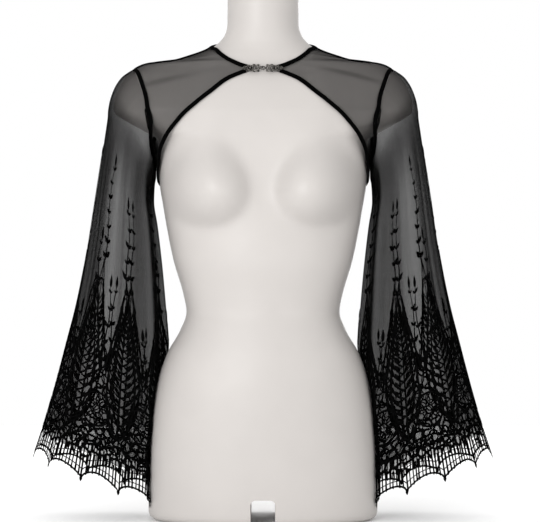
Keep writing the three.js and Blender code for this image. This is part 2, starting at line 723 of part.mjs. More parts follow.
/** The clasp's eye half: its plate with a round eye that lies on the middle of the throat. */
function claspEye() {
  const plate = roundsPlate(CLASP_ROUNDS, CLASP_PLATE).translate([CLASP_AT.x, 0, 0]);
  const eye = roundsPlate([{ x: 0, y: 0, ...EYE }, { y: 0, hole: 0, ...EYE_LINK }], CLASP_PLATE);
  return onChest(plate.add(eye), 1);
}

/** The clasp's hook half: a like plate with a wire hook that passes down through the eye. */
function claspHook() {
  const plate = roundsPlate(CLASP_ROUNDS, CLASP_PLATE).translate([CLASP_AT.x, 0, 0]);
  const high = CLASP_PLATE + HOOK_WIRE + 0.5;
  const hook = wire([
    [6.2, 0, 0.9], [5.8, 0, high * 0.75], [4.6, 0, high], [1.6, 0, high],
    [0.1, 0, high * 0.72], [-0.4, 0, 0.6], [-0.2, 0, -0.5]], HOOK_WIRE);
  return onChest(plate.add(hook), -1);
}

const black = (name, roughness) => new THREE.MeshStandardMaterial({ name, color: 0x0d0c0c, roughness });
const mesh = new THREE.MeshStandardMaterial({ name: 'mesh', color: 0x1a1918, roughness: 0.8 });
const lace = black('lace', 0.85);
const ribbon = black('ribbon', 0.7);
const silver = new THREE.MeshStandardMaterial({
  name: 'silver', color: 0x8c877e, roughness: 0.35, metalness: 1 });
const shell = new THREE.MeshStandardMaterial({ name: 'shell', color: 0xdad5d0, roughness: 0.45 });

const bolero = new THREE.Group();
const add = (name, geometry, material) => {
  const piece = new THREE.Mesh(geometry, material);
  piece.name = name;
  bolero.add(piece);
};

add('display_torso', displayTorso(), shell);
const front = bodicePanel(frontPatch, FRONT_GRID, false);
add('front_left', front, mesh);
add('front_right', mirrored(front), mesh);
add('back', bodicePanel(backPatch, BACK_GRID, true), mesh);
add('neck_binding', tape(onBodice(neckBindingEdge, NECK_TAPE_WIDTH, false), 48), ribbon);
add('hem_binding', tape(onBodice(hemBindingEdge, HEM_TAPE_WIDTH, true), 72), ribbon);

for (const [side, folds, turned] of [
  ['left', WEARERS_LEFT_FOLDS, geometry => geometry],
  ['right', WEARERS_RIGHT_FOLDS, mirrored],
]) {
  const surface = sleeveSurface(named(folds));
  add(`sleeve_${side}`, turned(sleeveTube(surface)), mesh);
  add(`openwork_${side}_front`, turned(openworkHalf(surface, 0)), lace);
  add(`openwork_${side}_back`, turned(openworkHalf(surface, SCALLOPS / 2)), lace);
  add(`armhole_tape_${side}`, turned(tape(onArmhole(surface), 32)), ribbon);
}
add('clasp_eye', claspEye(), silver);
add('clasp_hook', claspHook(), silver);

// The whole stands over the middle of its own footprint.
const bounds = new THREE.Box3().setFromObject(bolero);
const middle = bounds.getCenter(new THREE.Vector3());
for (const piece of bolero.children) {
  piece.geometry.translate(-middle.x, -middle.y, -bounds.min.z);
}

export default bolero;
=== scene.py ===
"""A sheer black bolero with lace bell sleeves and an openwork hem, worn by a plain torso form.

Lengths in the tables and classes are millimetres; meshes are written in metres in the row frame, with +Z up,
the fronts facing -Y and the wearer's left sleeve on +X.
"""

import logging
import math
import random
from dataclasses import dataclass, field
from enum import Enum
from typing import Callable, Sequence

import bpy
import numpy as np
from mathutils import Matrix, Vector
from mathutils.geometry import delaunay_2d_cdt


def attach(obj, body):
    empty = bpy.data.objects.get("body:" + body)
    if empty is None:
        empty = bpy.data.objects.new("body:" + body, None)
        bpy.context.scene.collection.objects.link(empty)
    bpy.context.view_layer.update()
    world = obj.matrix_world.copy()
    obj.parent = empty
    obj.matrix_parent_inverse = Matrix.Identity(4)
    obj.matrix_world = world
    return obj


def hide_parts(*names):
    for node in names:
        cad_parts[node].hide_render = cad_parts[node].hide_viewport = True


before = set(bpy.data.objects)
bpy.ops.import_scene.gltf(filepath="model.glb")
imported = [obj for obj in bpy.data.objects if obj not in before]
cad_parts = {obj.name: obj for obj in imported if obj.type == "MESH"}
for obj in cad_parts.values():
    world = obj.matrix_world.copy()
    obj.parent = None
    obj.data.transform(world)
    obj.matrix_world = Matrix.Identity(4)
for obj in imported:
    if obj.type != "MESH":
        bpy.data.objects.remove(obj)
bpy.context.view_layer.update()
log = logging.getLogger("bolero")

TURN = math.tau
QUARTER = math.pi / 2
MM = 0.001
Array = np.ndarray
Faces = Array | list[list[int]]
Run = Callable[[Array], Array]
Pair = tuple[Array, Array]
Points = Sequence[Sequence[float]] | Array
Piece = bpy.types.Object
Cord = tuple[float, float]
Socket = bpy.types.NodeSocket


# Curves


class Curve:
    """A smooth curve through rows of a position and a value, which never overshoots a row."""

    def __init__(self, at: Sequence[float], values: Sequence[float]) -> None:
        """Takes the rows.

        Args:
            at: The positions, rising.
            values: The value at each position.
        """
        self.at = np.asarray(at, float)
        self.values = np.asarray(values, float)
        slopes = np.diff(self.values) / np.diff(self.at)
        before = np.concatenate([slopes[:1], slopes])
        after = np.concatenate([slopes, slopes[-1:]])
        product = before * after
        total = before + after
        self.tangents = np.where(product > 0, 2 * product / np.where(total == 0, 1, total), 0.0)

    def __call__(self, x: Array | float) -> Array:
        """The curve's value at each x.

        Args:
            x: Where to read the curve.

        Returns:
            Its value at each x.
        """
        x = np.asarray(x, float)
        k = np.clip(np.searchsorted(self.at, x, side="right") - 1, 0, len(self.at) - 2)
        step = self.at[k + 1] - self.at[k]
        u = np.clip((x - self.at[k]) / step, 0, 1)
        rise = self.values[k + 1] - self.values[k]
        leave = u * (1 - u) ** 2 * step * self.tangents[k]
        arrive = u * u * (u - 1) * step * self.tangents[k + 1]
        return self.values[k] + rise * u * u * (3 - 2 * u) + leave + arrive


def smoothstep(x: Array | float, low: float, high: float) -> Array:
    """0 below low, 1 above high and a smooth rise between."""
    u = np.clip((np.asarray(x, float) - low) / (high - low), 0, 1)
    return u * u * (3 - 2 * u)


def unit(vectors: Array) -> Array:
    """Vectors brought to length 1."""
    return vectors / np.maximum(np.linalg.norm(vectors, axis=-1, keepdims=True), 1e-12)


def alike(*values: Array | float) -> list[Array]:
    """Numbers and arrays as arrays of one shape."""
    return np.broadcast_arrays(*(np.asarray(value, float) for value in values))


def read_off(values: Array, places: Array, at: Array) -> Array:
    """Points or normals at places along a run, from those known at other places."""
    return np.stack([np.interp(at, places, values[:, k]) for k in range(values.shape[1])], axis=-1)


def run_lengths(points: Array) -> Array:
    """The length of a run of points up to each of them."""
    return np.concatenate([[0], np.cumsum(np.linalg.norm(np.diff(points, axis=0), axis=1))])


def round_zero(degrees: Array) -> Array:
    """Angles in degrees brought to between -180 and 180."""
    return np.mod(degrees + 180, 360) - 180


def resample(points: Array, shares: Array) -> Array:
    """Points at shares of the length of a run of points.

    Args:
        points: Points of the run.
        shares: Shares of its length.

    Returns:
        The points there.
    """
    lengths = run_lengths(points)
    return read_off(points, lengths, np.asarray(shares, float) * lengths[-1])


# The torso and the cloth over it

TORSO_ROWS = (  # height, half width, reach to the front and back, how far back the side lies, squareness
    (0, 157, 78, 92, 10, 0), (3, 162, 84, 98, 10, 0), (8, 166, 88, 103, 10, 0), (75, 168, 92, 116, 12, 0),
    (143, 163.5, 94, 122, 12, 0), (195, 154.5, 95, 112, 10, 0), (240, 139.5, 90, 98, 6, 0),
    (275, 120, 84, 88, 2, 0), (301, 111, 80, 82, 0, 0), (327, 115.5, 82, 80, 0, 0),
    (375, 129.5, 90, 84, 0, 0), (421, 139, 93, 90, 0, 0), (459, 145.5, 92, 94, 2, 0.1),
    (484, 149.5, 91, 97, 3, 0.18), (525, 151, 90, 100, 4, 0.3), (552, 153, 87.5, 101, 5, 0.36),
    (556, 160, 87, 101, 5, 0.34), (587, 213, 80.5, 97, 6, 0.04), (591, 217, 79.3, 96, 6, 0.02),
    (600, 217.5, 76, 94, 7, 0), (622, 212, 67, 88, 8, 0), (641, 201, 58, 80, 8, 0),
    (651, 187, 53, 75, 8, 0), (657, 176, 51, 73, 8, 0), (660, 165, 50, 72, 8, 0),
    (663.5, 134, 49, 70, 8, 0), (671, 107, 47, 67, 7.5, 0), (680, 82, 45, 64, 6.5, 0),
    (690, 66, 44, 62, 6, 0), (702, 56, 45, 60, 6, 0), (716, 52, 47, 58.5, 6, 0), (745, 51.5, 50, 57, 4, 0),
    (771, 52, 53, 55, 1, 0), (774.5, 50, 51, 53, 1, 0), (776, 46, 47, 49, 1, 0))
CLOTH_SIDE_ROWS = (  # height, half width of the cloth where it stands off the torso beside the armpits
    (470, 149), (484, 150), (500, 151.8), (515, 154.5), (525, 157.5), (535, 162), (545, 168.5), (555, 177),
    (565, 187.5), (575, 199.5), (590, 217.2))
BRIDGES = (  # height, spread and rise of the cloth where it bridges the shoulder's edges
    (590, 18, 1.2), (657, 9, 0.3))


@dataclass
class Bust:
    """The rounded bust of a general figure."""

    apart: float = 80
    height: float = 474
    rise: float = 44
    across: float = 62
    above: float = 95
    below: float = 52
    softness: float = 0.2

    def out(self, x: Array, z: Array) -> Array:
        """How far it stands out of the chest's own section.

        Args:
            x: Places across the chest.
            z: Heights.

        Returns:
            The distances, near 0 away from the bust.
        """
        across = (np.abs(x) - self.apart) / self.across
        up = z - self.height
        rounded = 1 - (up / self.below) ** 2
        sloping = (1 + np.cos(np.pi * np.clip(up / self.above, 0, 1))) / 2
        share = np.where(up > 0, sloping, rounded) - across * across
        return self.rise * (share + np.hypot(share, self.softness)) / 2


class Body:
    """The torso's surface and the surface that the bodice lies on, by angle round the body and height."""

    joins = 590.0
    turn_step = 0.004
    rise_step = 0.4

    def __init__(self) -> None:
        """Reads the tables."""
        at = [row[0] for row in TORSO_ROWS]
        self.half, self.front, self.back, self.side, self.square = (
            Curve(at, [row[k] for row in TORSO_ROWS]) for k in range(1, 6))
        self.cloth_side = Curve(*zip(*CLOTH_SIDE_ROWS))
        self.bust = Bust()

    def cloth_half(self, z: Array) -> Array:
        """The half width of the surface that the bodice lies on."""
        wide = np.maximum(self.cloth_side(z), self.half(z))
        return np.where(np.asarray(z) < self.joins, wide, self.half(z))

    def point(self, angle: Array, z: Array, cloth: bool = False) -> Array:
        """Points of a level section: angle 0 is the +X side and a quarter turn the front.

        Args:
            angle: Angles round the body.
            z: Heights.
            cloth: Whether the surface is the bodice's.

        Returns:
            An array of points with the shape of the inputs and a last axis of 3.
        """
        angle, z = alike(angle, z)
        cosine = np.cos(angle)
        sine = np.sin(angle) * (1 + self.square(z) * cosine ** 2)
        x = (self.cloth_half(z) if cloth else self.half(z)) * cosine
        side = self.side(z)
        reach = np.where(sine > 0, self.front(z) + side, self.back(z) - side)
        y = side - reach * sine - self.bust.out(x, z) * np.maximum(sine, 0)
        return np.stack([x, y, z], axis=-1)

    def normal(self, angle: Array, z: Array, cloth: bool = True) -> Array:
        """Outward normals of either surface.

        Args:
            angle: Angles round the body.
            z: Heights.
            cloth: Whether the surface is the bodice's.

        Returns:
            Unit vectors.
        """
        turn, rise = self.turn_step, self.rise_step
        around = self.point(angle + turn, z, cloth) - self.point(angle - turn, z, cloth)
        up = self.point(angle, z + rise, cloth) - self.point(angle, z - rise, cloth)
        return -unit(np.cross(around, up))

    def cloth(self, angle: Array, z: Array, off: Array | float) -> Array:
        """Points of cloth at a distance off the torso.

        Args:
            angle: Angles round the body.
            z: Heights.
            off: Distances off the torso.

        Returns:
            The points.
        """
        angle, z = alike(angle, z)
        bridge = sum(rise * np.exp(-(((z - height) / spread) ** 2)) for height, spread, rise in BRIDGES)
        off = np.asarray(off, float) + bridge
        return self.point(angle, z, True) + self.normal(angle, z) * off[..., None]

    def angle_of(self, x: Array, z: Array) -> Array:
        """The angle at which the bodice's section has that x."""
        return np.arccos(np.clip(np.asarray(x, float) / self.cloth_half(z), -1, 1))


BODY = Body()


def read_places(piece: Piece) -> Array:
    """The points of a piece's mesh, in its own units.

    Args:
        piece: The piece.

    Returns:
        The points.
    """
    places = np.zeros(len(piece.data.vertices) * 3)
    piece.data.vertices.foreach_get("co", places)
    return places.reshape(-1, 3)


def cad_shift() -> Array:
    """How far the CAD nodes lie from the tables' own origin, read from the torso's top ring.

    Returns:
        The shift in millimetres.
    """
    places = read_places(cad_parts["display_torso"]) * 1000
    ring = places[places[:, 2] > places[:, 2].max() - 0.3]
    middle = (ring.min(axis=0) + ring.max(axis=0)) / 2
    return np.array([middle[0], middle[1] - float(BODY.side(TORSO_ROWS[-1][0])), 0.0])


SHIFT = cad_shift()


# Meshes


def write_places(piece: Piece, points: Array) -> None:
    """Moves a piece's points to places in the tables' frame."""
    piece.data.vertices.foreach_set("co", ((points + SHIFT) * MM).ravel())
    piece.data.update()


def deselect_all() -> None:
    """Leaves nothing selected."""
    bpy.ops.object.select_all(action="DESELECT")


def close_up(threshold: float) -> None:
    """In edit mode, merges the doubles of all that is selected."""
    bpy.ops.mesh.select_all(action="SELECT")
    bpy.ops.mesh.remove_doubles(threshold=threshold)


def select_only(piece: Piece) -> None:
    """Makes a piece the only selected and active one.

    Args:
        piece: The piece.
    """
    deselect_all()
    piece.select_set(True)
    bpy.context.view_layer.objects.active = piece


def mesh_piece(name: str, points: Array, faces: Faces, uv: Array | None = None,
               cover: Array | None = None) -> Piece:
    """Writes a mesh from points in millimetres.

    Args:
        name: The piece's name.
        points: The points, in the tables' frame.
        faces: Corner numbers of each face.
        uv: A pair of numbers at each point, kept as the map "cloth".
        cover: How much of what is behind it the cloth hides at each point, kept as the attribute "cover".

    Returns:
        The new object.
    """
    data = bpy.data.meshes.new(name)
    corners_of_faces = faces if isinstance(faces, list) else faces.tolist()
    data.from_pydata(((points + SHIFT) * MM).tolist(), [], corners_of_faces)
    if uv is not None:
        layer = data.uv_layers.new(name="cloth")
        corners = np.zeros(len(data.loops), np.int32)
        data.loops.foreach_get("vertex_index", corners)
        layer.data.foreach_set("uv", np.asarray(uv, np.float32)[corners].ravel())
    if cover is not None:
        kept = data.attributes.new("cover", "FLOAT", "POINT")
        kept.data.foreach_set("value", np.asarray(cover, np.float32))
    data.polygons.foreach_set("use_smooth", [True] * len(data.polygons))
    data.update()
    piece = bpy.data.objects.new(name, data)
    bpy.context.scene.collection.objects.link(piece)
    return piece


def grid_faces(rows: int, columns: int, closed: bool, start: int = 0, flip: bool = False) -> Array:
    """Quads over a grid of points stored row by row.

    Args:
        rows: How many rows.
        columns: How many columns.
        closed: Whether the last column joins the first.
        start: The first point's number.
        flip: Whether they are turned round.

    Returns:
        The quads.
    """
    last = columns if closed else columns - 1
    j, i = np.meshgrid(np.arange(rows - 1), np.arange(last), indexing="ij")
    right = (i + 1) % columns
    low, high = j * columns, (j + 1) * columns
    quads = np.stack([low + i, low + right, high + right, high + i], -1).reshape(-1, 4) + start
    return quads[:, ::-1] if flip else quads


def cloth_wall(outer: Array, inner: Array, closed: bool) -> Pair:
    """Closes two grids of points into a thin wall.

    Args:
        outer: Outer points, rows by columns by 3, whose quads face out.
        inner: Inner points in the same layout.
        closed: Whether the last column joins the first.

    Returns:
        The points and the quads.
    """
    rows, columns = outer.shape[:2]
    count = rows * columns
    points = np.concatenate([outer.reshape(-1, 3), inner.reshape(-1, 3)])
    parts = [grid_faces(rows, columns, closed), grid_faces(rows, columns, closed, count, flip=True)]
    last = columns if closed else columns - 1
    i = np.arange(last)
    right = (i + 1) % columns
    for base, turned in ((0, False), ((rows - 1) * columns, True)):
        rim = np.stack([base + right, base + i, base + i + count, base + right + count], -1)
        parts.append(rim[:, ::-1] if turned else rim)
    if not closed:
        j = np.arange(rows - 1) * columns
        for base, turned in ((0, True), (columns - 1, False)):
            rim = np.stack([j + base + columns, j + base, j + base + count, j + base + columns + count], -1)
            parts.append(rim[:, ::-1] if turned else rim)
    return points, np.concatenate(parts)


def outward(points: Array, faces: Array) -> Array:
    """The same faces, all turned round if they enclose a negative volume.

    Args:
        points: The points.
        faces: The triangles or quads.

    Returns:
        The faces.
    """
    triangles = points[faces[:, :3]]
    other = points[faces[:, [0, 2, 3]]] if faces.shape[1] == 4 else triangles[:0]
    volume = sum(np.einsum("ij,ij->i", t[:, 0], np.cross(t[:, 1], t[:, 2])).sum() for t in (triangles, other))
    return faces if volume > 0 else faces[:, ::-1]


# Finishes


class Slot(Enum):
    """The record's material slots."""

    MESH = "mesh"
    LACE = "lace"
    RIBBON = "ribbon"
    SILVER = "silver"
    SHELL = "shell"


class Nodes:
    """A material's node tree, with short ways to add and join its nodes."""

    def __init__(self, name: str) -> None:
        """Starts a material with one Principled shader.

        Args:
            name: The material's name.
        """
        self.material = bpy.data.materials.new(name)
        self.material.use_nodes = True
        self.tree = self.material.node_tree
        self.shader = next(n for n in self.tree.nodes if n.type == "BSDF_PRINCIPLED")
        self.output = next(n for n in self.tree.nodes if n.type == "OUTPUT_MATERIAL")

    def add(self, kind: str, **values: object) -> bpy.types.Node:
        """Adds a node; values set its sockets by name where it has them, and its properties otherwise.

        Args:
            kind: The node's type.
            **values: What to set.

        Returns:
            The node.
        """
        node = self.tree.nodes.new(kind)
        for key, value in values.items():
            name = key.replace("_", " ")
            if hasattr(node, key):
                setattr(node, key, value)
            else:
                node.inputs[name].default_value = value
        return node

    def join(self, source: Socket, target: Socket) -> None:
        """Links an output to an input."""
        self.tree.links.new(source, target)

    def ramp(self, source: Socket, stops: Sequence[tuple[float, object]]) -> Socket:
        """Runs a value through a colour ramp with two stops.

        Args:
            source: The value.
            stops: Each stop's place and its grey or colour.

        Returns:
            The colour.
        """
        node = self.add("ShaderNodeValToRGB")
        for element, (place, value) in zip(node.color_ramp.elements, stops):
            element.position = place
            element.color = value if isinstance(value, tuple) else (value, value, value, 1)
        self.join(source, node.inputs["Fac"])
        return node.outputs["Color"]

    def noise(self, scale: float, detail: float = 3, vector: Socket | None = None,
              roughness: float = 0.5) -> Socket:
        """Noise on Object coordinates, or on a given vector.

        Args:
            scale: Its scale.
            detail: Its detail.
            vector: The given vector.
            roughness: Its roughness.

        Returns:
            The noise's value.
        """
        node = self.add("ShaderNodeTexNoise", Scale=scale, Detail=detail, Roughness=roughness)
        self.join(vector or self.object_place(), node.inputs["Vector"])
        return node.outputs["Fac"]

    def object_place(self) -> Socket:
        """Object coordinates."""
        return self.add("ShaderNodeTexCoord").outputs["Object"]

    def cloth_place(self, across: float, along: float) -> Socket:
        """The piece's own map along and across its cloth, scaled.

        Args:
            across: The scale across.
            along: The scale along.

        Returns:
            The vector.
        """
        place = self.add("ShaderNodeUVMap", uv_map="cloth")
        mapping = self.add("ShaderNodeMapping")
        mapping.inputs["Scale"].default_value = (across, along, 1)
        self.join(place.outputs["UV"], mapping.inputs["Vector"])
        return mapping.outputs["Vector"]

    def maths(self, operation: str, first: object, second: object) -> Socket:
        """A Math node over sockets or numbers.

        Args:
            operation: The operation.
            first: Its first input.
            second: Its second input.

        Returns:
            The result.
        """
        node = self.add("ShaderNodeMath", operation=operation)
        for k, value in enumerate((first, second)):
            if isinstance(value, (int, float)):
                node.inputs[k].default_value = value
            else:
                self.join(value, node.inputs[k])
        return node.outputs[0]

    def bump(self, height: Socket, strength: float, distance: float) -> None:
        """Raises the surface by a height.

        Args:
            height: The height.
            strength: The bump's strength.
            distance: Its full height in metres.
        """
        node = self.add("ShaderNodeBump", Strength=strength, Distance=distance)
        self.join(height, node.inputs["Height"])
        self.join(node.outputs["Normal"], self.shader.inputs["Normal"])

    def colour(self, source: Socket) -> None:
        """Feeds the base colour."""
        self.join(source, self.shader.inputs["Base Color"])

    def settle(self, **values: object) -> None:
        """Sets the shader's own sockets."""
        for key, value in values.items():
            self.shader.inputs[key.replace("_", " ")].default_value = value


@dataclass(frozen=True)
class SheerNet:
    """Fine black net that shows what lies behind it."""

    name: str = "sheer_net"
    uneven: float = 0.12
    dark: float = 0.002
    depth: float = 620

    def build(self) -> bpy.types.Material:
        """The net's cover comes from the piece, which holds painted shade as well as the net's own density,
        and is uneven along its yarns and in soft clouds.

        Returns:
            The material.
        """
        nodes = Nodes(self.name)
        nodes.settle(Base_Color=(self.dark, self.dark * 0.95, self.dark * 0.9, 1), Roughness=0.9)
        nodes.settle(Specular_IOR_Level=0.0)
        streaks = nodes.noise(1.0, 4, nodes.cloth_place(60, 2.0), 0.6)
        clouds = nodes.noise(1.0, 2, nodes.cloth_place(8, 4))
        streaks, clouds = nodes.maths("MULTIPLY", streaks, 0.6), nodes.maths("MULTIPLY", clouds, 0.4)
        mixed = nodes.maths("ADD", streaks, clouds)
        change = nodes.maths("MULTIPLY", nodes.maths("SUBTRACT", mixed, 0.5), self.uneven * 4)
        # The piece's cover attribute carries painted shade under the arms, in creases and along the sleeves'
        # sides.
        cover = nodes.add("ShaderNodeAttribute", attribute_name="cover").outputs["Fac"]
        total = nodes.maths("ADD", cover, nodes.maths("MULTIPLY", change, cover))
        clamped = nodes.add("ShaderNodeClamp")
        nodes.join(total, clamped.inputs["Value"])
        nodes.join(clamped.outputs["Result"], nodes.shader.inputs["Alpha"])
        yarns = nodes.add("ShaderNodeVolumeAbsorption", Color=(0, 0, 0, 1), Density=self.depth)
        nodes.join(yarns.outputs["Volume"], nodes.output.inputs["Volume"])
        return nodes.material


@dataclass(frozen=True)
class Thread:
    """Dense matt black thread of lace, cord and seams."""

    name: str = "lace_thread"
    dark: float = 0.0008
    light: float = 0.003
    roughness: float = 0.8
    stitches: float = 45

    def build(self) -> bpy.types.Material:
        """Short stitches over a slightly uneven black.

        Returns:
            The material.
        """
        nodes = Nodes(self.name)
        nodes.settle(Roughness=self.roughness, Specular_IOR_Level=0.0)
        nodes.colour(nodes.ramp(nodes.noise(260, 4), ((0.35, self.dark), (0.7, self.light))))
        stitches = nodes.add("ShaderNodeTexWave", Scale=self.stitches, Distortion=2.5, Detail=2)
        nodes.join(nodes.object_place(), stitches.inputs["Vector"])
        nodes.bump(stitches.outputs["Fac"], 0.5, 0.0004)
        return nodes.material


@dataclass(frozen=True)
class Velvet:
    """Short-piled black ribbon."""

    name: str = "velvet_ribbon"
    dark: float = 0.0006
    light: float = 0.0022
    sheen: float = 0.005

    def build(self) -> bpy.types.Material:
        """A soft pile that lightens a little at its edges.

        Returns:
            The material.
        """
        nodes = Nodes(self.name)
        nodes.settle(Roughness=0.9, Specular_IOR_Level=0.0, Sheen_Weight=self.sheen, Sheen_Roughness=0.45)
        nodes.colour(nodes.ramp(nodes.noise(420, 5), ((0.35, self.dark), (0.75, self.light))))
        nodes.bump(nodes.noise(1400, 2), 0.6, 0.0004)
        return nodes.material


@dataclass(frozen=True)
class AntiqueSilver:
    """Dark silver, worn bright on its high places."""

    name: str = "antique_silver"
    hollow: tuple[float, ...] = (0.008, 0.007, 0.007, 1)
    worn: tuple[float, ...] = (0.27, 0.255, 0.235, 1)

    def build(self) -> bpy.types.Material:
        """Tarnish lies in the hollows of a finely cast surface.

        Returns:
            The material.
        """
        nodes = Nodes(self.name)
        nodes.settle(Metallic=1.0)
        cast = nodes.noise(650, 5, roughness=0.65)
        nodes.colour(nodes.ramp(cast, ((0.42, self.hollow), (0.66, self.worn))))
        nodes.join(nodes.ramp(cast, ((0.3, 0.55), (0.7, 0.24))), nodes.shader.inputs["Roughness"])
        nodes.bump(nodes.noise(900, 4), 0.7, 0.0005)
        return nodes.material


@dataclass(frozen=True)
class FormShell:
    """Smooth satin off-white plastic."""

    name: str = "form_shell"
    shade: tuple[float, ...] = (0.40, 0.378, 0.362, 1)
    light: tuple[float, ...] = (0.425, 0.402, 0.385, 1)

    def build(self) -> bpy.types.Material:
        """Barely uneven in colour and gloss, as sprayed plastic is.

        Returns:
            The material.
        """
        nodes = Nodes(self.name)
        nodes.settle(Specular_IOR_Level=0.35)
        nodes.colour(nodes.ramp(nodes.noise(9, 3), ((0.3, self.shade), (0.7, self.light))))
        gloss = nodes.ramp(nodes.noise(30, 3), ((0.3, 0.5), (0.7, 0.42)))
        nodes.join(gloss, nodes.shader.inputs["Roughness"])
        nodes.bump(nodes.noise(700, 2), 0.05, 0.0004)
        return nodes.material


class Wardrobe:
    """Every finish, built once."""

    def __init__(self) -> None:
        """Builds the materials."""
        self.sleeve_net = SheerNet("sleeve_net", 0.14).build()
        self.yoke_net = SheerNet("bodice_net", 0.08).build()
        self.thread = Thread().build()
        self.velvet = Velvet().build()
        self.silver = AntiqueSilver().build()
        self.shell = FormShell().build()


def dress(piece: Piece, material: bpy.types.Material, slot: Slot, *replaced: str) -> Piece:
    """Gives a piece its finish and its body, and hides the CAD nodes that it stands for.

    Args:
        piece: The finished piece.
        material: Its material.
        slot: The record's slot; not used.
        replaced: Names of CAD nodes.

    Returns:
        The piece.
    """
    piece.data.materials.clear()
    piece.data.materials.append(material)
    if replaced:
        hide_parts(*replaced)
    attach(piece, "root")
    count = sum(len(face.vertices) - 2 for face in piece.data.polygons)
    log.info("%s: %d triangles", piece.name, count)
    return piece


# The torso form


@dataclass
class TorsoForm:
    """The plain display torso: neck, shoulders with short arm stubs, chest, hips and two thigh stubs."""

    sides: int = 160
    levels: int = 190
    notch_width: float = 35
    notch_height: float = 37
    notch_corner: float = 7
    below: float = 30
    through: float = 400

    def heights(self) -> Array:
        """Heights that cut the side profile into nearly equal lengths.

        Returns:
            The heights, rising.
        """
        z = np.linspace(0, TORSO_ROWS[-1][0], 4000)
        profile = np.stack([BODY.half(z), z], axis=-1)
        return resample(profile, np.linspace(0, 1, self.levels + 1))[:, 1]

    def build(self, wardrobe: Wardrobe) -> Piece:
        """A sheet of quads is wrapped round the body's sections, closed along its seam and capped.

        Args:
            wardrobe: The finishes.

        Returns:
            The torso.
        """
        deselect_all()
        bpy.ops.mesh.primitive_grid_add(x_subdivisions=self.sides, y_subdivisions=self.levels, size=2)
        torso = bpy.context.active_object
        torso.name = "torso_form"
        self.wrap(torso)
        self.cap(torso)
        self.cut_notch(torso)
        select_only(torso)
        bpy.ops.object.shade_smooth_by_angle(angle=math.radians(38))
        return dress(torso, wardrobe.shell, Slot.SHELL, "display_torso")

    def wrap(self, torso: Piece) -> None:
        """Wraps the flat sheet round: its breadth is the turn and its height the level.

        Args:
            torso: The torso's piece.
        """
        across, along, _ = read_places(torso).T
        z = np.interp((along + 1) / 2 * self.levels, np.arange(self.levels + 1), self.heights())
        write_places(torso, BODY.point(-(across + 1) / 2 * TURN, z))

    def cap(self, torso: Piece) -> None:
        """Closes the seam and both ends, and insets the ends so that their rims shade cleanly.

        Args:
            torso: The torso's piece.
        """
        select_only(torso)
        bpy.ops.object.mode_set(mode="EDIT")
        bpy.ops.mesh.select_mode(type="FACE")
        close_up(1e-5)
        bpy.ops.mesh.fill_holes(sides=0)
        bpy.ops.mesh.select_all(action="SELECT")
        bpy.ops.mesh.normals_make_consistent(inside=False)
        bpy.ops.mesh.select_all(action="DESELECT")
        bpy.ops.mesh.select_face_by_sides(number=4, type="GREATER")
        for width in (1.2, 8, 16):
            bpy.ops.mesh.inset(thickness=width * MM, use_individual=True)
        bpy.ops.object.mode_set(mode="OBJECT")

    def cut_notch(self, torso: Piece) -> None:
        """Cuts the gap between the thigh stubs with a rounded block.

        Args:
            torso: The torso's piece.
        """
        deselect_all()
        height = self.notch_height + self.below
        centre = (SHIFT[0] * MM, 0, (self.notch_height - height / 2) * MM)
        bpy.ops.mesh.primitive_cube_add(size=1, location=centre)
        block = bpy.context.active_object
        block.scale = (self.notch_width * MM, self.through * MM, height * MM)
        bpy.ops.object.transform_apply(location=True, rotation=False, scale=True)
        corner = block.modifiers.new("corner", "BEVEL")
        corner.width = self.notch_corner * MM
        corner.segments = 5
        bpy.ops.object.modifier_apply(modifier=corner.name)
        cut = torso.modifiers.new("notch", "BOOLEAN")
        cut.operation = "DIFFERENCE"
        cut.object = block
        cut.solver = "EXACT"
        select_only(torso)
        bpy.ops.object.modifier_apply(modifier=cut.name)
        bpy.data.objects.remove(block)


# The bodice

NECK_ROWS = ((14, 652), (22, 653.5), (34, 657.5), (49, 664.5), (59, 672), (66, 679))
FRONT_EDGE_ROWS = (
    (150.6, 494), (150.2, 499), (148.6, 507), (146.5, 519), (143.5, 533), (137, 548), (123.5, 567),
    (101, 590), (76, 611), (50, 631.5), (34, 639), (21, 643.5), (14, 645))
BACK_NECK_ROWS = ((62, 690), (50, 692), (25, 693.7))
ARMHOLE_ROWS = (  # share of the way down, degrees round the body
    (0, 0), (0.08, 16), (0.16, 26), (0.24, 32), (0.32, 36.5), (0.42, 40.5), (0.5, 41), (0.58, 36),
    (0.67, 26.5), (0.76, 17), (0.87, 8), (1, 0))


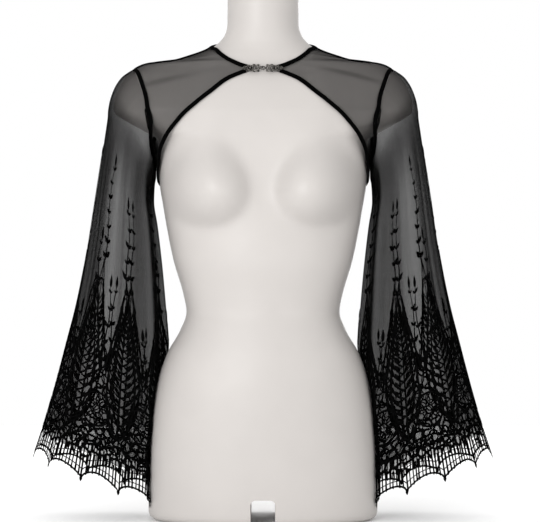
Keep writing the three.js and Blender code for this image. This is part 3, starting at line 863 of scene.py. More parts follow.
@dataclass
class Pattern:
    """The bodice's seams and edges, in angle round the body and height."""

    shoulder_tip: float = 651
    underarm: float = 525
    hem: float = 484
    side_hem_rise: float = 6
    side_hem_reach: float = 0.12
    back_hem_rise: float = 6
    neck_point: float = 686
    back_neck: float = 694
    girth: float = 110
    armhole_turn: Curve = field(init=False)
    lengths: Array = field(init=False)
    heights: Array = field(init=False)

    def __post_init__(self) -> None:
        """Measures the length up the cloth's side line."""
        self.armhole_turn = Curve(*zip(*[(share, math.radians(turn)) for share, turn in ARMHOLE_ROWS]))
        self.heights = np.linspace(self.hem - 4, self.neck_point + 14, 1200)
        profile = np.stack([BODY.cloth_half(self.heights), self.heights], axis=-1)
        self.lengths = run_lengths(profile)

    def place(self, angle: Array, z: Array) -> Array:
        """A place on the plan: breadth round the body and length up its side."""
        angle, z = alike(angle, z)
        return np.stack([angle * self.girth, np.interp(z, self.heights, self.lengths)], axis=-1)

    def places_at(self, rows: Sequence[tuple[float, float]]) -> Array:
        """Places of rows of x and z on the bodice."""
        x, z = np.array(rows, float).T
        return self.place(BODY.angle_of(x, z), z)

    def unplace(self, places: Array) -> Pair:
        """The angles and heights of places on the plan."""
        return places[..., 0] / self.girth, np.interp(places[..., 1], self.lengths, self.heights)

    def armhole(self, turn: Array) -> Pair:
        """The armhole's angle and height, from the shoulder tip at 0 through the front and round again.

        Args:
            turn: Turns round the armhole.

        Returns:
            The angles and heights.
        """
        turn = np.mod(np.asarray(turn, float), TURN)
        share = np.minimum(turn, TURN - turn) / np.pi
        z = self.underarm + (self.shoulder_tip - self.underarm) * (1 + np.cos(np.pi * share)) / 2
        return np.where(turn <= np.pi, 1, -1) * self.armhole_turn(share), z

    def back_hem_height(self, angle: Array) -> Array:
        """The back hem's height, which rounds up into the front edges at the side seams."""
        side = self.side_hem_rise * np.exp(-((angle / self.side_hem_reach) ** 2))
        return self.hem + side + self.back_hem_rise * np.sin(angle) ** 2

    def edge(self, name: "Edge", shares: Array) -> Array:
        """Places along a seam or edge.

        Args:
            name: Which edge.
            shares: How far along it each place lies, from 0 to 1.

        Returns:
            The places on the plan.
        """
        low = float(self.back_hem_height(0.0))
        neck = [self.place(0, self.neck_point)]
        turns = np.linspace(0, QUARTER, 60)
        runs = {
            Edge.SHOULDER: self.place(0, np.linspace(self.shoulder_tip, self.neck_point, 60)),
            Edge.SIDE: self.place(0, np.array([self.underarm, low])),
            Edge.FRONT: np.vstack([[self.place(0, low)], self.places_at(FRONT_EDGE_ROWS)]),
            Edge.NECK: np.vstack([self.places_at(FRONT_EDGE_ROWS[-1:] + NECK_ROWS), neck]),
            Edge.NECKLINE: np.vstack([self.places_at(NECK_ROWS), neck]),
            Edge.BACK_NECK: np.vstack(
                [neck, self.places_at(BACK_NECK_ROWS), [self.place(QUARTER, self.back_neck)]]),
            Edge.BACK_HEM: self.place(turns, self.back_hem_height(turns)),
            Edge.CENTRE_BACK: self.place(
                QUARTER, np.array([self.hem + self.back_hem_rise, self.back_neck])),
        }
        if name is Edge.ARMHOLE:
            return self.place(*self.armhole(np.pi * (1 - np.asarray(shares, float))))
        run = runs[name]
        if name in (Edge.FRONT, Edge.NECK, Edge.NECKLINE, Edge.BACK_NECK):
            run = self.rounded(run)
        return resample(run, shares)

    @staticmethod
    def rounded(run: Array) -> Array:
        """A run of places taken on one smooth curve.

        Args:
            run: The places.

        Returns:
            Places close together on the curve.
        """
        lengths = run_lengths(run)
        fine = np.linspace(0, lengths[-1], 240)
        return np.stack([Curve(lengths, run[:, k])(fine) for k in range(2)], axis=-1)


class Edge(Enum):
    """The bodice's seams and edges on one side."""

    SHOULDER = "shoulder seam"
    SIDE = "side seam, downwards"
    ARMHOLE = "armhole, from underarm to shoulder"
    FRONT = "front edge, from side seam to throat"
    NECK = "throat and neckline of the front"
    NECKLINE = "neckline of the front"
    BACK_NECK = "back neckline"
    BACK_HEM = "back hem"
    CENTRE_BACK = "centre back"


PATTERN = Pattern()


def in_turn(first: Run, second: Run, share: float) -> Run:
    """Two runs of an edge one after the other, the first up to a given share.

    Args:
        first: The first run.
        second: The second.
        share: Where the first ends.

    Returns:
        Both as one run.
    """
    def along(at: Array) -> Array:
        """The joined run's places.

        Args:
            at: Shares of it.

        Returns:
            The places.
        """
        at = np.asarray(at, float)
        low = first(np.clip(at / share, 0, 1))
        high = second(np.clip((at - share) / (1 - share), 0, 1))
        return np.where((at < share)[..., None], low, high)
    return along


def patch(low: Run, high: Run, near: Run, far: Run, u: Array, v: Array) -> Array:
    """A four-sided patch whose rows run straight from near to far and bend with low and high near them.

    Args:
        low: The edge where v is 0.
        high: The edge where v is 1.
        near: The edge where u is 0.
        far: The edge where u is 1.
        u: Shares from near to far.
        v: Shares from low to high.

    Returns:
        The places.
    """
    def bend(edge: Run) -> Array:
        """How far an edge bends off the straight line between its ends."""
        ends = edge(np.array([0.0, 1.0]))
        return edge(u) - (ends[0] * (1 - u)[..., None] + ends[1] * u[..., None])
    straight = near(v) * (1 - u)[..., None] + far(v) * u[..., None]
    return straight + bend(low) * ((1 - v) ** 3)[..., None] + bend(high) * (v ** 2)[..., None]


@dataclass(frozen=True)
class DragLine:
    """A soft line in stretched net: where its middle lies, its slope, its breadth and reach, and its height.

    turn is in degrees round the body, height and breadth in millimetres, slope in millimetres a degree and
    reach in degrees either way.
    """

    turn: float
    height: float
    slope: float
    breadth: float
    rise: float
    reach: float = 22

    def at(self, degrees: Array, z: Array, narrowed: float = 1.0) -> Array:
        """How strongly the line shows at each place, from 0 to 1.

        Args:
            degrees: Angles in degrees.
            z: Heights.
            narrowed: Factor on its breadth.

        Returns:
            The strengths.
        """
        along = (degrees - self.turn) / self.reach
        off = (z - self.height - self.slope * (degrees - self.turn)) / (self.breadth * narrowed)
        return np.exp(-off ** 2 - along ** 2)


# Each drag line lifts the net into a crease, and in Bodice.cover also adds painted shade along it.
BACK_LINES = (
    DragLine(24, 604, 0.5, 5, 1.0), DragLine(52, 640, 0.35, 6, 0.9), DragLine(70, 560, -0.2, 8, 0.7),
    DragLine(30, 540, 0.2, 6, 0.7), DragLine(30, 668, 0.3, 4, 0.9))
FRONT_LINES = {
    1: (
        DragLine(26, 662, 0.3, 2.6, 1.3, 15), DragLine(38, 666, 0.42, 2.2, 1.0, 12),
        DragLine(50, 640, 0.7, 7, 0.6, 16), DragLine(30, 575, -0.9, 5, 0.8, 13)),
    -1: (
        DragLine(28, 664, 0.26, 2.4, 1.4, 16), DragLine(42, 664, 0.45, 2.2, 1.0, 12),
        DragLine(46, 632, 0.6, 8, 0.6, 15), DragLine(27, 570, -0.8, 4.5, 0.8, 12))}


@dataclass
class Bodice:
    """The two fronts and the back, with their seams."""

    across: int = 72
    up: int = 64
    gap: float = 1.1
    cloth: float = 0.45
    seam: float = 0.35
    beside_seam: float = 2 / 13
    under_shoulder: float = 7 / 13
    net: float = 0.19
    # drawn: cover added along the drag lines, partly bunched net and partly painted shade in the creases.
    drawn: float = 0.11
    narrowed: float = 0.55
    # Cover added under the arm: painted shade under the arm over net gathered at the side seam.
    underarm_gather_and_shade: float = 0.62
    densest: float = 0.93
    first_share: float = 0.004
    closer_below: float = 1.15
    seam_width: float = 4.2
    shoulder_seam: float = 1.3
    side_seam: float = 0.7

    def edge(self, name: Edge) -> Run:
        """An edge as a function of its share."""
        return lambda shares: PATTERN.edge(name, shares)

    def plan(self, u: Array, v: Array, back: bool) -> Pair:
        """Angles and heights over a front or over half the back.

        Args:
            u: Shares from armhole to middle.
            v: Shares from the hem up.
            back: Whether it is the back.

        Returns:
            The angles and heights.
        """
        hem = self.edge(Edge.BACK_HEM) if back else lambda at: PATTERN.edge(Edge.FRONT, at ** 1.25)
        low = in_turn(self.edge(Edge.SIDE), hem, self.beside_seam)
        high = self.edge(Edge.SHOULDER)
        if back:
            high = in_turn(high, self.edge(Edge.BACK_NECK), self.under_shoulder)
        far = self.edge(Edge.CENTRE_BACK if back else Edge.NECK)
        return PATTERN.unplace(patch(low, high, self.edge(Edge.ARMHOLE), far, u, v))

    def creases(self, angle: Array, z: Array, back: bool, side: int) -> Array:
        """How far the stretched net stands off in soft drag lines."""
        x = np.degrees(angle)
        return sum(line.at(x, z) * line.rise for line in (BACK_LINES if back else FRONT_LINES[side]))

    def cover(self, angle: Array, z: Array, back: bool, side: int) -> Array:
        """How much the net hides: its even density, raised along its drag lines as partly bunched net and
        partly painted shade in the creases, and raised under the arm as painted shade over net gathered at
        the side seam.

        Args:
            angle: Angles round the body.
            z: Heights.
            back: Whether it is the back.
            side: 1 for the wearer's left and -1 for the right.

        Returns:
            The cover, from 0 to 1.
        """
        x = np.degrees(angle)
        total = np.full_like(z, self.net)
        # Painted shade along the drag lines' creases, over net bunched there.
        for line in BACK_LINES if back else FRONT_LINES[side]:
            total += line.at(x, z, self.narrowed) * self.drawn
        # Painted shade under the arm, over net gathered beside the side seam.
        under = np.exp(-((x / 30) ** 4)) * smoothstep(598 - z, 0, 48)
        return np.clip(total + self.underarm_gather_and_shade * under, 0, self.densest)

    def panel(self, back: bool, side: int) -> tuple[Array, Array, Array, Array]:
        """Points, quads, cloth map and cover of one panel.

        Args:
            back: Whether it is the back, which runs on over the middle.
            side: 1 for the wearer's left front and -1 for the right.

        Returns:
            The points, the quads, the map and the cover.
        """
        columns = self.across * 2 if back else self.across
        i, j = np.meshgrid(np.arange(columns + 1), np.arange(self.up + 1), indexing="xy")
        fold = np.where(i > self.across, -1, 1)
        u = np.where(fold > 0, i, columns - i) / self.across
        v = 1 - (1 - j / self.up) ** self.closer_below
        angle, z = self.plan(np.maximum(u, self.first_share), v, back)
        depth = BODY.back(z) - BODY.side(z) if back else BODY.front(z) + BODY.side(z)
        angle = np.maximum(angle, self.seam / 2 / depth)
        lift = self.creases(angle, z, back, side)
        turned = -angle if back else angle
        walls = []
        for off in (self.gap + self.cloth, self.gap):
            wall = BODY.cloth(turned, z, off + lift)
            wall[..., 0] *= fold if back else side
            walls.append(wall)
        points, quads = cloth_wall(walls[0], walls[1], False)
        breadth = np.where(fold > 0, angle, np.pi - angle) * PATTERN.girth * MM
        uv = np.stack([breadth, z * MM], axis=-1).reshape(-1, 2)
        cover = self.cover(angle, z, back, side).ravel()
        return points, outward(points, quads), np.concatenate([uv, uv]), np.concatenate([cover, cover])

    def build(self, wardrobe: Wardrobe) -> list[Piece]:
        """Sews the panels and lays the shoulder and side seams over their joins.

        Args:
            wardrobe: The finishes.

        Returns:
            The pieces.
        """
        made = []
        for name, back, side in (("front_left", False, 1), ("front_right", False, -1), ("back", True, 1)):
            points, quads, uv, cover = self.panel(back, side)
            piece = mesh_piece(f"{name}_net", points, quads, uv, cover)
            made.append(dress(piece, wardrobe.yoke_net, Slot.MESH, name))
        for side, word in ((1, "left"), (-1, "right")):
            for edge, title, height in (
                    (Edge.SHOULDER, "shoulder", self.shoulder_seam), (Edge.SIDE, "side", self.side_seam)):
                points, faces = self.seam_strip(edge, side, height)
                piece = mesh_piece(f"{title}_seam_{word}", points, faces)
                made.append(dress(piece, wardrobe.thread, Slot.RIBBON))
        return made

    def seam_strip(self, edge: Edge, side: int, height: float) -> tuple[Array, Faces]:
        """The felled seam over a join.

        Args:
            edge: The join.
            side: 1 for the wearer's left and -1 for the right.
            height: How far the seam stands out.

        Returns:
            The points and the faces.
        """
        angle, z = PATTERN.unplace(PATTERN.edge(edge, np.linspace(0.01, 0.99, 50)))
        mirror = np.array([side, 1, 1])
        path = BODY.cloth(angle, z, self.gap + self.cloth) * mirror
        return Strip(self.seam_width, height).along(path, BODY.normal(angle, z) * mirror)


# Ribbons

STRIP_ROWS = (  # across as a share of the width, up as a share of the height
    (-0.5, 0.25), (-0.46, 0.7), (-0.3, 0.95), (0.0, 1.0), (0.3, 0.95), (0.46, 0.7), (0.5, 0.25), (0.3, 0.0),
    (-0.3, 0.0))


@dataclass
class Strip:
    """A soft strip with rounded edges that lies along a path."""

    width: float
    height: float
    lift: float = 0.15

    def section(self) -> Pair:
        """Across and up of the section's points, with a flat underside."""
        across, up = np.array(STRIP_ROWS).T
        return across * self.width, up * self.height + self.lift

    def along(self, path: Array, out: Array) -> tuple[Array, Faces]:
        """Sweeps the section along a path.

        Args:
            path: Points of the path.
            out: Outward normals at them.

        Returns:
            The points and the faces, with the ends closed.
        """
        across = unit(np.cross(out, unit(np.gradient(path, axis=0))))
        sideways, up = self.section()
        rings = (path[:, None] + across[:, None] * sideways[None, :, None] + out[:, None] * up[None, :, None])
        rows, columns = rings.shape[:2]
        points = rings.reshape(-1, 3)
        plain = grid_faces(rows, columns, True)
        quads = outward(points, plain)
        first, last = list(range(columns)), list(range((rows - 1) * columns, rows * columns))
        ends = [first[::-1], last] if quads is plain else [first, last[::-1]]
        return points, quads.tolist() + ends


def eased(run: Array, reach: int) -> Array:
    """A run of points or normals averaged along itself, with its ends kept.

    Args:
        run: The points or normals.
        reach: Neighbours on either side that count.

    Returns:
        The eased run.
    """
    window = np.hanning(2 * reach + 3)[1:-1]
    padded = np.concatenate([np.repeat(run[:1], reach, axis=0), run, np.repeat(run[-1:], reach, axis=0)])
    smooth = np.stack([np.convolve(padded[:, k], window / window.sum(), "valid") for k in range(3)], axis=-1)
    smooth[0], smooth[-1] = run[0], run[-1]
    return smooth


@dataclass
class Bindings:
    """The velvet bindings of the neck and hem, and the ribbons over the armhole seams."""

    neck_width: float = 6.4
    hem_width: float = 6.6
    armhole_width: float = 6.2
    height: float = 1.5
    armhole_height: float = 1.1
    face: float = 1.55
    overhang: float = 0.8
    hem_start: float = 0.975
    armhole_reach: float = 0.93
    armhole_lift: float = 0.35
    beside_armhole: float = 0.045
    facing: float = 1.9

    def mirrored_edge(self, front: Array, back: Array) -> Pair:
        """Angles and heights of an edge over one front, round the back and over the other front.

        Args:
            front: Places along the front's edge.
            back: Places along the back's, to its middle.

        Returns:
            The angles and heights.
        """
        angle_front, z_front = PATTERN.unplace(front)
        angle_back, z_back = PATTERN.unplace(back)
        angle = np.concatenate([angle_front, -angle_back[1:]])
        z = np.concatenate([z_front, z_back[1:]])
        return np.concatenate([angle, np.pi - angle[-2::-1]]), np.concatenate([z, z[-2::-1]])

    def binding(self, angle: Array, z: Array, width: float, above: bool) -> Pair:
        """A binding that lies along an edge with its cloth above or below it.

        Args:
            angle: Angles round the body.
            z: Heights.
            width: Its width.
            above: Whether its cloth lies above the edge.

        Returns:
            The points and the faces.
        """
        path = BODY.cloth(angle, z, self.face)
        out = BODY.normal(angle, z)
        across = unit(np.cross(out, unit(np.gradient(path, axis=0)))) * (1 if above else -1)
        lengths = run_lengths(path)
        inside = path + across * (width / 2 - self.overhang)
        smooth = np.linspace(0, lengths[-1], len(path))
        out = unit(read_off(out, lengths, smooth))
        return Strip(width, self.height).along(read_off(inside, lengths, smooth), out)

    def build(self, wardrobe: Wardrobe, sleeves: Sequence["Sleeve"]) -> list[Piece]:
        """Lays every ribbon.

        Args:
            wardrobe: The finishes.
            sleeves: Both sleeves, whose armholes the ribbons cover.

        Returns:
            The ribbons.
        """
        shares = np.linspace(0, 1, 90)
        neck = self.mirrored_edge(PATTERN.edge(Edge.NECKLINE, shares), PATTERN.edge(Edge.BACK_NECK, shares))
        fronts = PATTERN.edge(Edge.FRONT, self.hem_start * (1 - np.linspace(0, 1, 150)))
        hem = self.mirrored_edge(fronts, PATTERN.edge(Edge.BACK_HEM, np.linspace(0, 1, 110)))
        ribbons = [
            ("neck_ribbon", "neck_binding", self.binding(*neck, self.neck_width, False)),
            ("hem_ribbon", "hem_binding", self.binding(*hem, self.hem_width, True))]
        ribbons += [
            (f"armhole_ribbon_{sleeve.word}", f"armhole_tape_{sleeve.word}", self.armhole_ribbon(sleeve))
            for sleeve in sleeves]
        return [
            dress(mesh_piece(name, *mesh), wardrobe.velvet, Slot.RIBBON, node)
            for name, node, mesh in ribbons]

    def armhole_ribbon(self, sleeve: "Sleeve") -> tuple[Array, Faces]:
        """A ribbon over an armhole's seam, which turns to face forwards and backwards low down.

        Args:
            sleeve: The sleeve sewn in there.

        Returns:
            The points and the faces.
        """
        turn = np.pi * self.armhole_reach * np.linspace(1, -1, 160)
        angle, z = PATTERN.armhole(turn)
        path = BODY.cloth(angle, z, self.face)
        near = sleeve.raw(turn, np.full_like(turn, self.beside_armhole))
        bodice = BODY.normal(angle, z)
        face = unit(np.cross(unit(np.gradient(path, axis=0)), unit(near - path)))
        face *= np.sign(np.einsum("ij,ij->i", face, bodice))[:, None]
        low = smoothstep(np.abs(turn) / np.pi, 0.3, 0.62) * np.sign(turn)
        facing = np.stack([0 * low, -self.facing * low, 0 * low], axis=-1)
        mirror = np.array([sleeve.side, 1, 1])
        out = unit(eased(unit(bodice + face) + facing, 12)) * mirror
        strip = Strip(self.armhole_width, self.armhole_height, self.armhole_lift)
        return strip.along(eased(path, 5) * mirror, out)


# The sleeves

SLEEVE_ROWS = (  # row, over the arm x and z, under the arm x and z, middle and half depth
    (0, 189.5, 653.5, 159.6, 525, 6, 64), (1, 204.5, 641, 156.0, 516, 6, 62),
    (2, 215.5, 622, 154.2, 507, 6, 60), (3, 222, 599, 154.2, 497, 7, 58), (4, 227, 572, 156.5, 485, 8, 57),
    (5, 235, 521, 158, 460, 10, 55), (6, 245, 457, 153, 425, 12, 54), (7, 258, 376, 146.5, 366, 16, 55),
    (8, 273, 305, 141, 300, 20, 57), (9, 285, 260, 137.5, 252, 24, 59), (10, 297, 215, 135, 198, 28, 62),
    (11, 312, 162, 132, 128, 32, 65), (12, 335, 91, 128, 14, 35, 70))


@dataclass(frozen=True)
class Fold:
    """One soft fold that opens down the sleeve.

    place is in degrees round it, breadth too, out is how far it stands out at the hem, start is the share of
    the length at which it begins, and drift is how many degrees it wanders on its way down.
    """

    place: float
    breadth: float
    out: float
    start: float = 0.12
    drift: float = 0.0


LEFT_FOLDS = (
    Fold(28, 13, -5), Fold(62, 15, 8), Fold(96, 14, -9), Fold(128, 13, 7), Fold(205, 15, -6),
    Fold(248, 16, 8), Fold(290, 15, -8), Fold(330, 14, 6),
    Fold(46, 7, -1.6, 0.2, 3), Fold(78, 6, 1.6, 0.35, -4), Fold(112, 6, 1.5, 0.25, 3),
    Fold(146, 6, -2.0, 0.1, -3), Fold(168, 6, 1.8, 0.15, 2), Fold(190, 6, -2.0, 0.3, 3),
    Fold(228, 5, 2.0, 0.2, -3), Fold(268, 5, 2.4, 0.3, 2), Fold(310, 5, 2.2, 0.2, -3),
    Fold(350, 6, -1.6, 0.1, 3))
RIGHT_FOLDS = (
    Fold(24, 12, -6), Fold(55, 14, 7), Fold(84, 13, -8), Fold(120, 15, 8), Fold(212, 15, -7),
    Fold(255, 15, 7), Fold(296, 15, -7), Fold(336, 13, 6),
    Fold(40, 6, -1.7, 0.3, -3), Fold(70, 6, 1.5, 0.2, 4), Fold(104, 7, -1.6, 0.3, 3),
    Fold(138, 5, 1.9, 0.15, -3), Fold(160, 6, -1.8, 0.1, 2), Fold(192, 5, 2.0, 0.25, -2),
    Fold(234, 6, -2.2, 0.2, 3), Fold(275, 5, -2.0, 0.3, -3), Fold(316, 5, 2.4, 0.2, 3),
    Fold(354, 6, 1.5, 0.15, -2))


@dataclass(frozen=True)
class GatherAndShade:
    """A stretch of the sleeve whose net cover rises, and falls where more is below 0: partly net drawn
    together (spread out where it falls) and partly painted shade under the arm and along the sleeve's sides
    and folds.

    place and breadth are in degrees round the sleeve; start, end and soft are shares of its length.
    """

    place: float
    breadth: float
    more: float
    start: float = 0.0
    end: float = 1.0
    soft: float = 0.12

    def at(self, turn: Array, t: Array) -> Array:
        """How much it adds to the net's cover.

        Args:
            turn: Turns round the sleeve.
            t: Shares of its length.

        Returns:
            The cover.
        """
        off = round_zero(np.degrees(turn) - self.place)
        along = smoothstep(t, self.start - self.soft, self.start + self.soft) * (
            1 - smoothstep(t, self.end - self.soft, self.end + self.soft))
        return self.more * np.exp(-((off / self.breadth) ** 2)) * along


# Cover bands of each sleeve: net drawn together, and painted shade under the arm and along the sides and
# folds; those below 0 thin the net.
SHARED_GATHERS_AND_SHADE = (
    GatherAndShade(172, 20, 0.5, 0.1, 0.42, 0.08), GatherAndShade(164, 26, 0.6, -0.2, 0.24, 0.08),
    GatherAndShade(95, 62, 0.17, 0.24, 0.4, 0.08), GatherAndShade(150, 20, 0.24, 0.2, 0.44, 0.08),
    GatherAndShade(80, 60, -0.15, -0.2, 0.19, 0.05))
LEFT_GATHERS_AND_SHADE = SHARED_GATHERS_AND_SHADE + (
    GatherAndShade(48, 3, 0.36, 0.36, 0.95, 0.1), GatherAndShade(56, 6, 0.22, 0.36, 1, 0.1), GatherAndShade(80, 8, -0.07, 0.35),
    GatherAndShade(118, 11, 0.13, 0.36), GatherAndShade(141, 6, 0.56, 0.3, 1, 0.1), GatherAndShade(30, 3, 0.14, 0.4),
    GatherAndShade(96, 2.5, 0.12, 0.4), GatherAndShade(215, 7, 0.2, 0.3), GatherAndShade(262, 8, 0.12, 0.3),
    GatherAndShade(300, 7, -0.06, 0.3), GatherAndShade(331, 6, 0.16, 0.3))
RIGHT_GATHERS_AND_SHADE = SHARED_GATHERS_AND_SHADE + (
    GatherAndShade(45, 3, 0.38, 0.36, 0.95, 0.1), GatherAndShade(53, 6, 0.22, 0.36, 1, 0.1), GatherAndShade(76, 8, -0.07, 0.35),
    GatherAndShade(115, 11, 0.13, 0.36), GatherAndShade(142, 6, 0.56, 0.3, 1, 0.1), GatherAndShade(27, 3, 0.12, 0.4),
    GatherAndShade(90, 2.5, 0.12, 0.4), GatherAndShade(212, 7, 0.2, 0.3), GatherAndShade(256, 8, 0.12, 0.3),
    GatherAndShade(296, 7, -0.06, 0.3), GatherAndShade(334, 6, 0.16, 0.3))


@dataclass
class Sleeve:
    """One bell sleeve: its surface, its net and the places of its lace."""

    side: int
    word: str
    folds: tuple[Fold, ...]
    gathers_and_shade: tuple[GatherAndShade, ...]
    net: float = 0.34
    around: int = 220
    down: int = 120
    cloth: float = 0.45
    top: float = 0.006
    clearance: float = 2.2
    softness: float = 0.03
    fade: float = 0.3
    open_top: float = 37.0
    shares: int = 720
    step: float = 2.5
    reach: float = 520.0
    seam_off: float = 1.55
    densest: float = 0.93
    columns: list[Curve] = field(init=False)
    last_t: Array = field(init=False)
    grid: Array = field(init=False)
    out: Array = field(init=False)
    turns: Array = field(init=False)
    hem_length: float = field(init=False)

    def __post_init__(self) -> None:
        """Reads the table and maps the sleeve by share of its girth and length up from its hem."""
        at = np.array([row[0] for row in SLEEVE_ROWS], float) / (len(SLEEVE_ROWS) - 1)
        self.columns = [Curve(at, [row[k] for row in SLEEVE_ROWS]) for k in range(1, 7)]
        self.measure()

    def folded(self, turn: Array, t: Array) -> Array:
        """How far the folds stand out.

        Args:
            turn: Turns round the sleeve.
            t: Shares of its length.

        Returns:
            The distances.
        """
        degrees = np.degrees(turn)
        total = np.zeros(np.broadcast(turn, t).shape)
        for fold in self.folds:
            off = round_zero(degrees - fold.place - fold.drift * t)
            total = total + fold.out * np.exp(-((off / fold.breadth) ** 2)) * smoothstep(t, fold.start, 1)
        return total

    def ring(self, turn: Array, t: Array) -> Array:
        """The bell's own surface before it is sewn to the armhole.

        Args:
            turn: Turns round the sleeve.
            t: Shares of its length.

        Returns:
            The points.
        """
        over_x, over_z, under_x, under_z, middle, depth = (column(t) for column in self.columns)
        half = np.stack([(over_x - under_x) / 2, np.zeros_like(over_x), (over_z - under_z) / 2], axis=-1)
        centre = np.stack([(over_x + under_x) / 2, middle, (over_z + under_z) / 2], axis=-1)
        folded = self.folded(turn, t)
        stretch = np.cos(turn) * (1 + folded / np.linalg.norm(half, axis=-1))
        point = centre + half * stretch[..., None]
        point[..., 1] = middle - (depth + folded) * np.sin(turn)
        return point

    def raw(self, turn: Array, t: Array) -> Array:
        """The sleeve's outer surface on +X, sewn to the armhole and clear of the torso.

        Args:
            turn: Turns round the sleeve.
            t: Shares of its length.

        Returns:
            The points.
        """
        turn, t = alike(turn, t)
        fade = (1 - smoothstep(t, 0, self.fade))[..., None]
        angle, z = PATTERN.armhole(turn)
        seam = BODY.cloth(angle, z, self.seam_off)
        point = self.ring(turn, t) + fade * (seam - self.ring(turn, np.zeros_like(t)))
        return self.clear_of_torso(point)

    def clear_of_torso(self, point: Array) -> Array:
        """Pushes points sideways out of the torso, so that the cloth lies against the hip and never in it.

        Args:
            point: Points on +X.

        Returns:
            The points, moved.
        """
        x, y, z = point[..., 0], point[..., 1], point[..., 2]
        side = BODY.side(z)
        away = y - side
        reach = np.where(away < 0, BODY.front(z) + side, BODY.back(z) - side) + self.clearance
        half = BODY.half(z) + self.clearance
        share = np.maximum(np.hypot(x / half, away / reach), 1e-6)
        kept = (share + 1 + np.hypot(share - 1, self.softness)) / 2
        return np.stack([x * kept / share, side + away * kept / share, z], axis=-1)

    def measure(self) -> None:
        """Maps the surface by share of the hem's girth and length up from the hem."""
        fine = np.linspace(0, TURN, 1441)
        hem = self.raw(fine, np.full_like(fine, 0.96))
        lengths = run_lengths(hem)
        self.hem_length = float(lengths[-1])
        self.turns = np.interp(np.arange(self.shares) / self.shares * lengths[-1], lengths, fine)
        t = np.linspace(1, 0, 421)
        points = self.raw(self.turns[:, None], t[None, :])
        runs = np.linalg.norm(np.diff(points, axis=1), axis=2)
        up = np.concatenate([np.zeros((self.shares, 1)), np.cumsum(runs, axis=1)], axis=1)
        steps = np.arange(0, self.reach + 1, self.step)
        at = np.stack([np.interp(steps, up[k], t) for k in range(self.shares)])
        self.last_t = np.stack([np.interp(self.open_top, up[k], t) for k in range(self.shares)])
        self.grid = self.raw(self.turns[:, None], at)
        around = np.roll(self.grid, -1, axis=0) - np.roll(self.grid, 1, axis=0)
        upward = np.gradient(self.grid, axis=1)
        self.out = unit(np.cross(upward, around))
        middle = self.grid.mean(axis=0, keepdims=True)
        self.out *= np.sign(np.einsum("ijk,ijk->ij", self.out, self.grid - middle).sum())

    def lace_point(self, share: Array, up: Array, lift: Array | float) -> Array:
        """Points over the sleeve by share of its girth, length up from its hem and height off the cloth.

        Args:
            share: Shares of the girth.
            up: Lengths up from the hem.
            lift: Heights off the cloth.

        Returns:
            The points.
        """
        share, up, lift = alike(share, up, lift)
        k = np.mod(share, 1) * self.shares
        low = np.floor(k).astype(int) % self.shares
        high = (low + 1) % self.shares
        a = (k - np.floor(k))[..., None]
        m = np.clip(up / self.step, 0, self.grid.shape[1] - 1.001)
        row = np.floor(m).astype(int)
        b = (m - row)[..., None]
        found = []
        for values in (self.grid, self.out):
            below = values[low, row] * (1 - a) + values[high, row] * a
            above = values[low, row + 1] * (1 - a) + values[high, row + 1] * a
            found.append(below * (1 - b) + above * b)
        point, out = found[0], unit(found[1])
        under = np.minimum(up, 0)[..., None]
        slope = (self.grid[low, 1] - self.grid[low, 0]) / self.step
        point = point + slope * under + out * lift[..., None]
        return point * np.array([self.side, 1, 1])

    def build(self, wardrobe: Wardrobe) -> Piece:
        """The sheer net from the armhole down to the open bars.

        Args:
            wardrobe: The finishes.

        Returns:
            The piece.
        """
        turn = np.arange(self.around) / self.around * TURN
        last = np.interp(turn, self.turns, self.last_t, period=TURN)
        row = np.linspace(0, 1, self.down + 1)
        t = self.top + (last[None, :] - self.top) * row[:, None]
        turn = np.broadcast_to(turn, t.shape)
        outer = self.raw(turn, t)
        around = np.roll(outer, -1, axis=1) - np.roll(outer, 1, axis=1)
        normal = unit(np.cross(around, np.gradient(outer, axis=0)))
        middle = outer.mean(axis=1, keepdims=True)
        normal *= np.sign(np.einsum("ijk,ijk->ij", normal, outer - middle).sum())
        inner = outer - normal * self.cloth
        mirror = np.array([self.side, 1, 1])
        points, quads = cloth_wall(outer * mirror, inner * mirror, True)
        uv = np.stack([turn / TURN * 0.6, t * 0.64], axis=-1).reshape(-1, 2)
        # The net's own cover, raised by bands of drawn-together net and painted shade.
        cover = self.net + sum(gather_and_shade.at(turn, t) for gather_and_shade in self.gathers_and_shade)
        cover = np.clip(cover, 0.05, self.densest).ravel()
        piece = mesh_piece(
            f"sleeve_{self.word}_net", points, outward(points, quads), np.concatenate([uv, uv]),
            np.concatenate([cover, cover]))
        return dress(piece, wardrobe.sleeve_net, Slot.MESH, f"sleeve_{self.word}")


# The lace


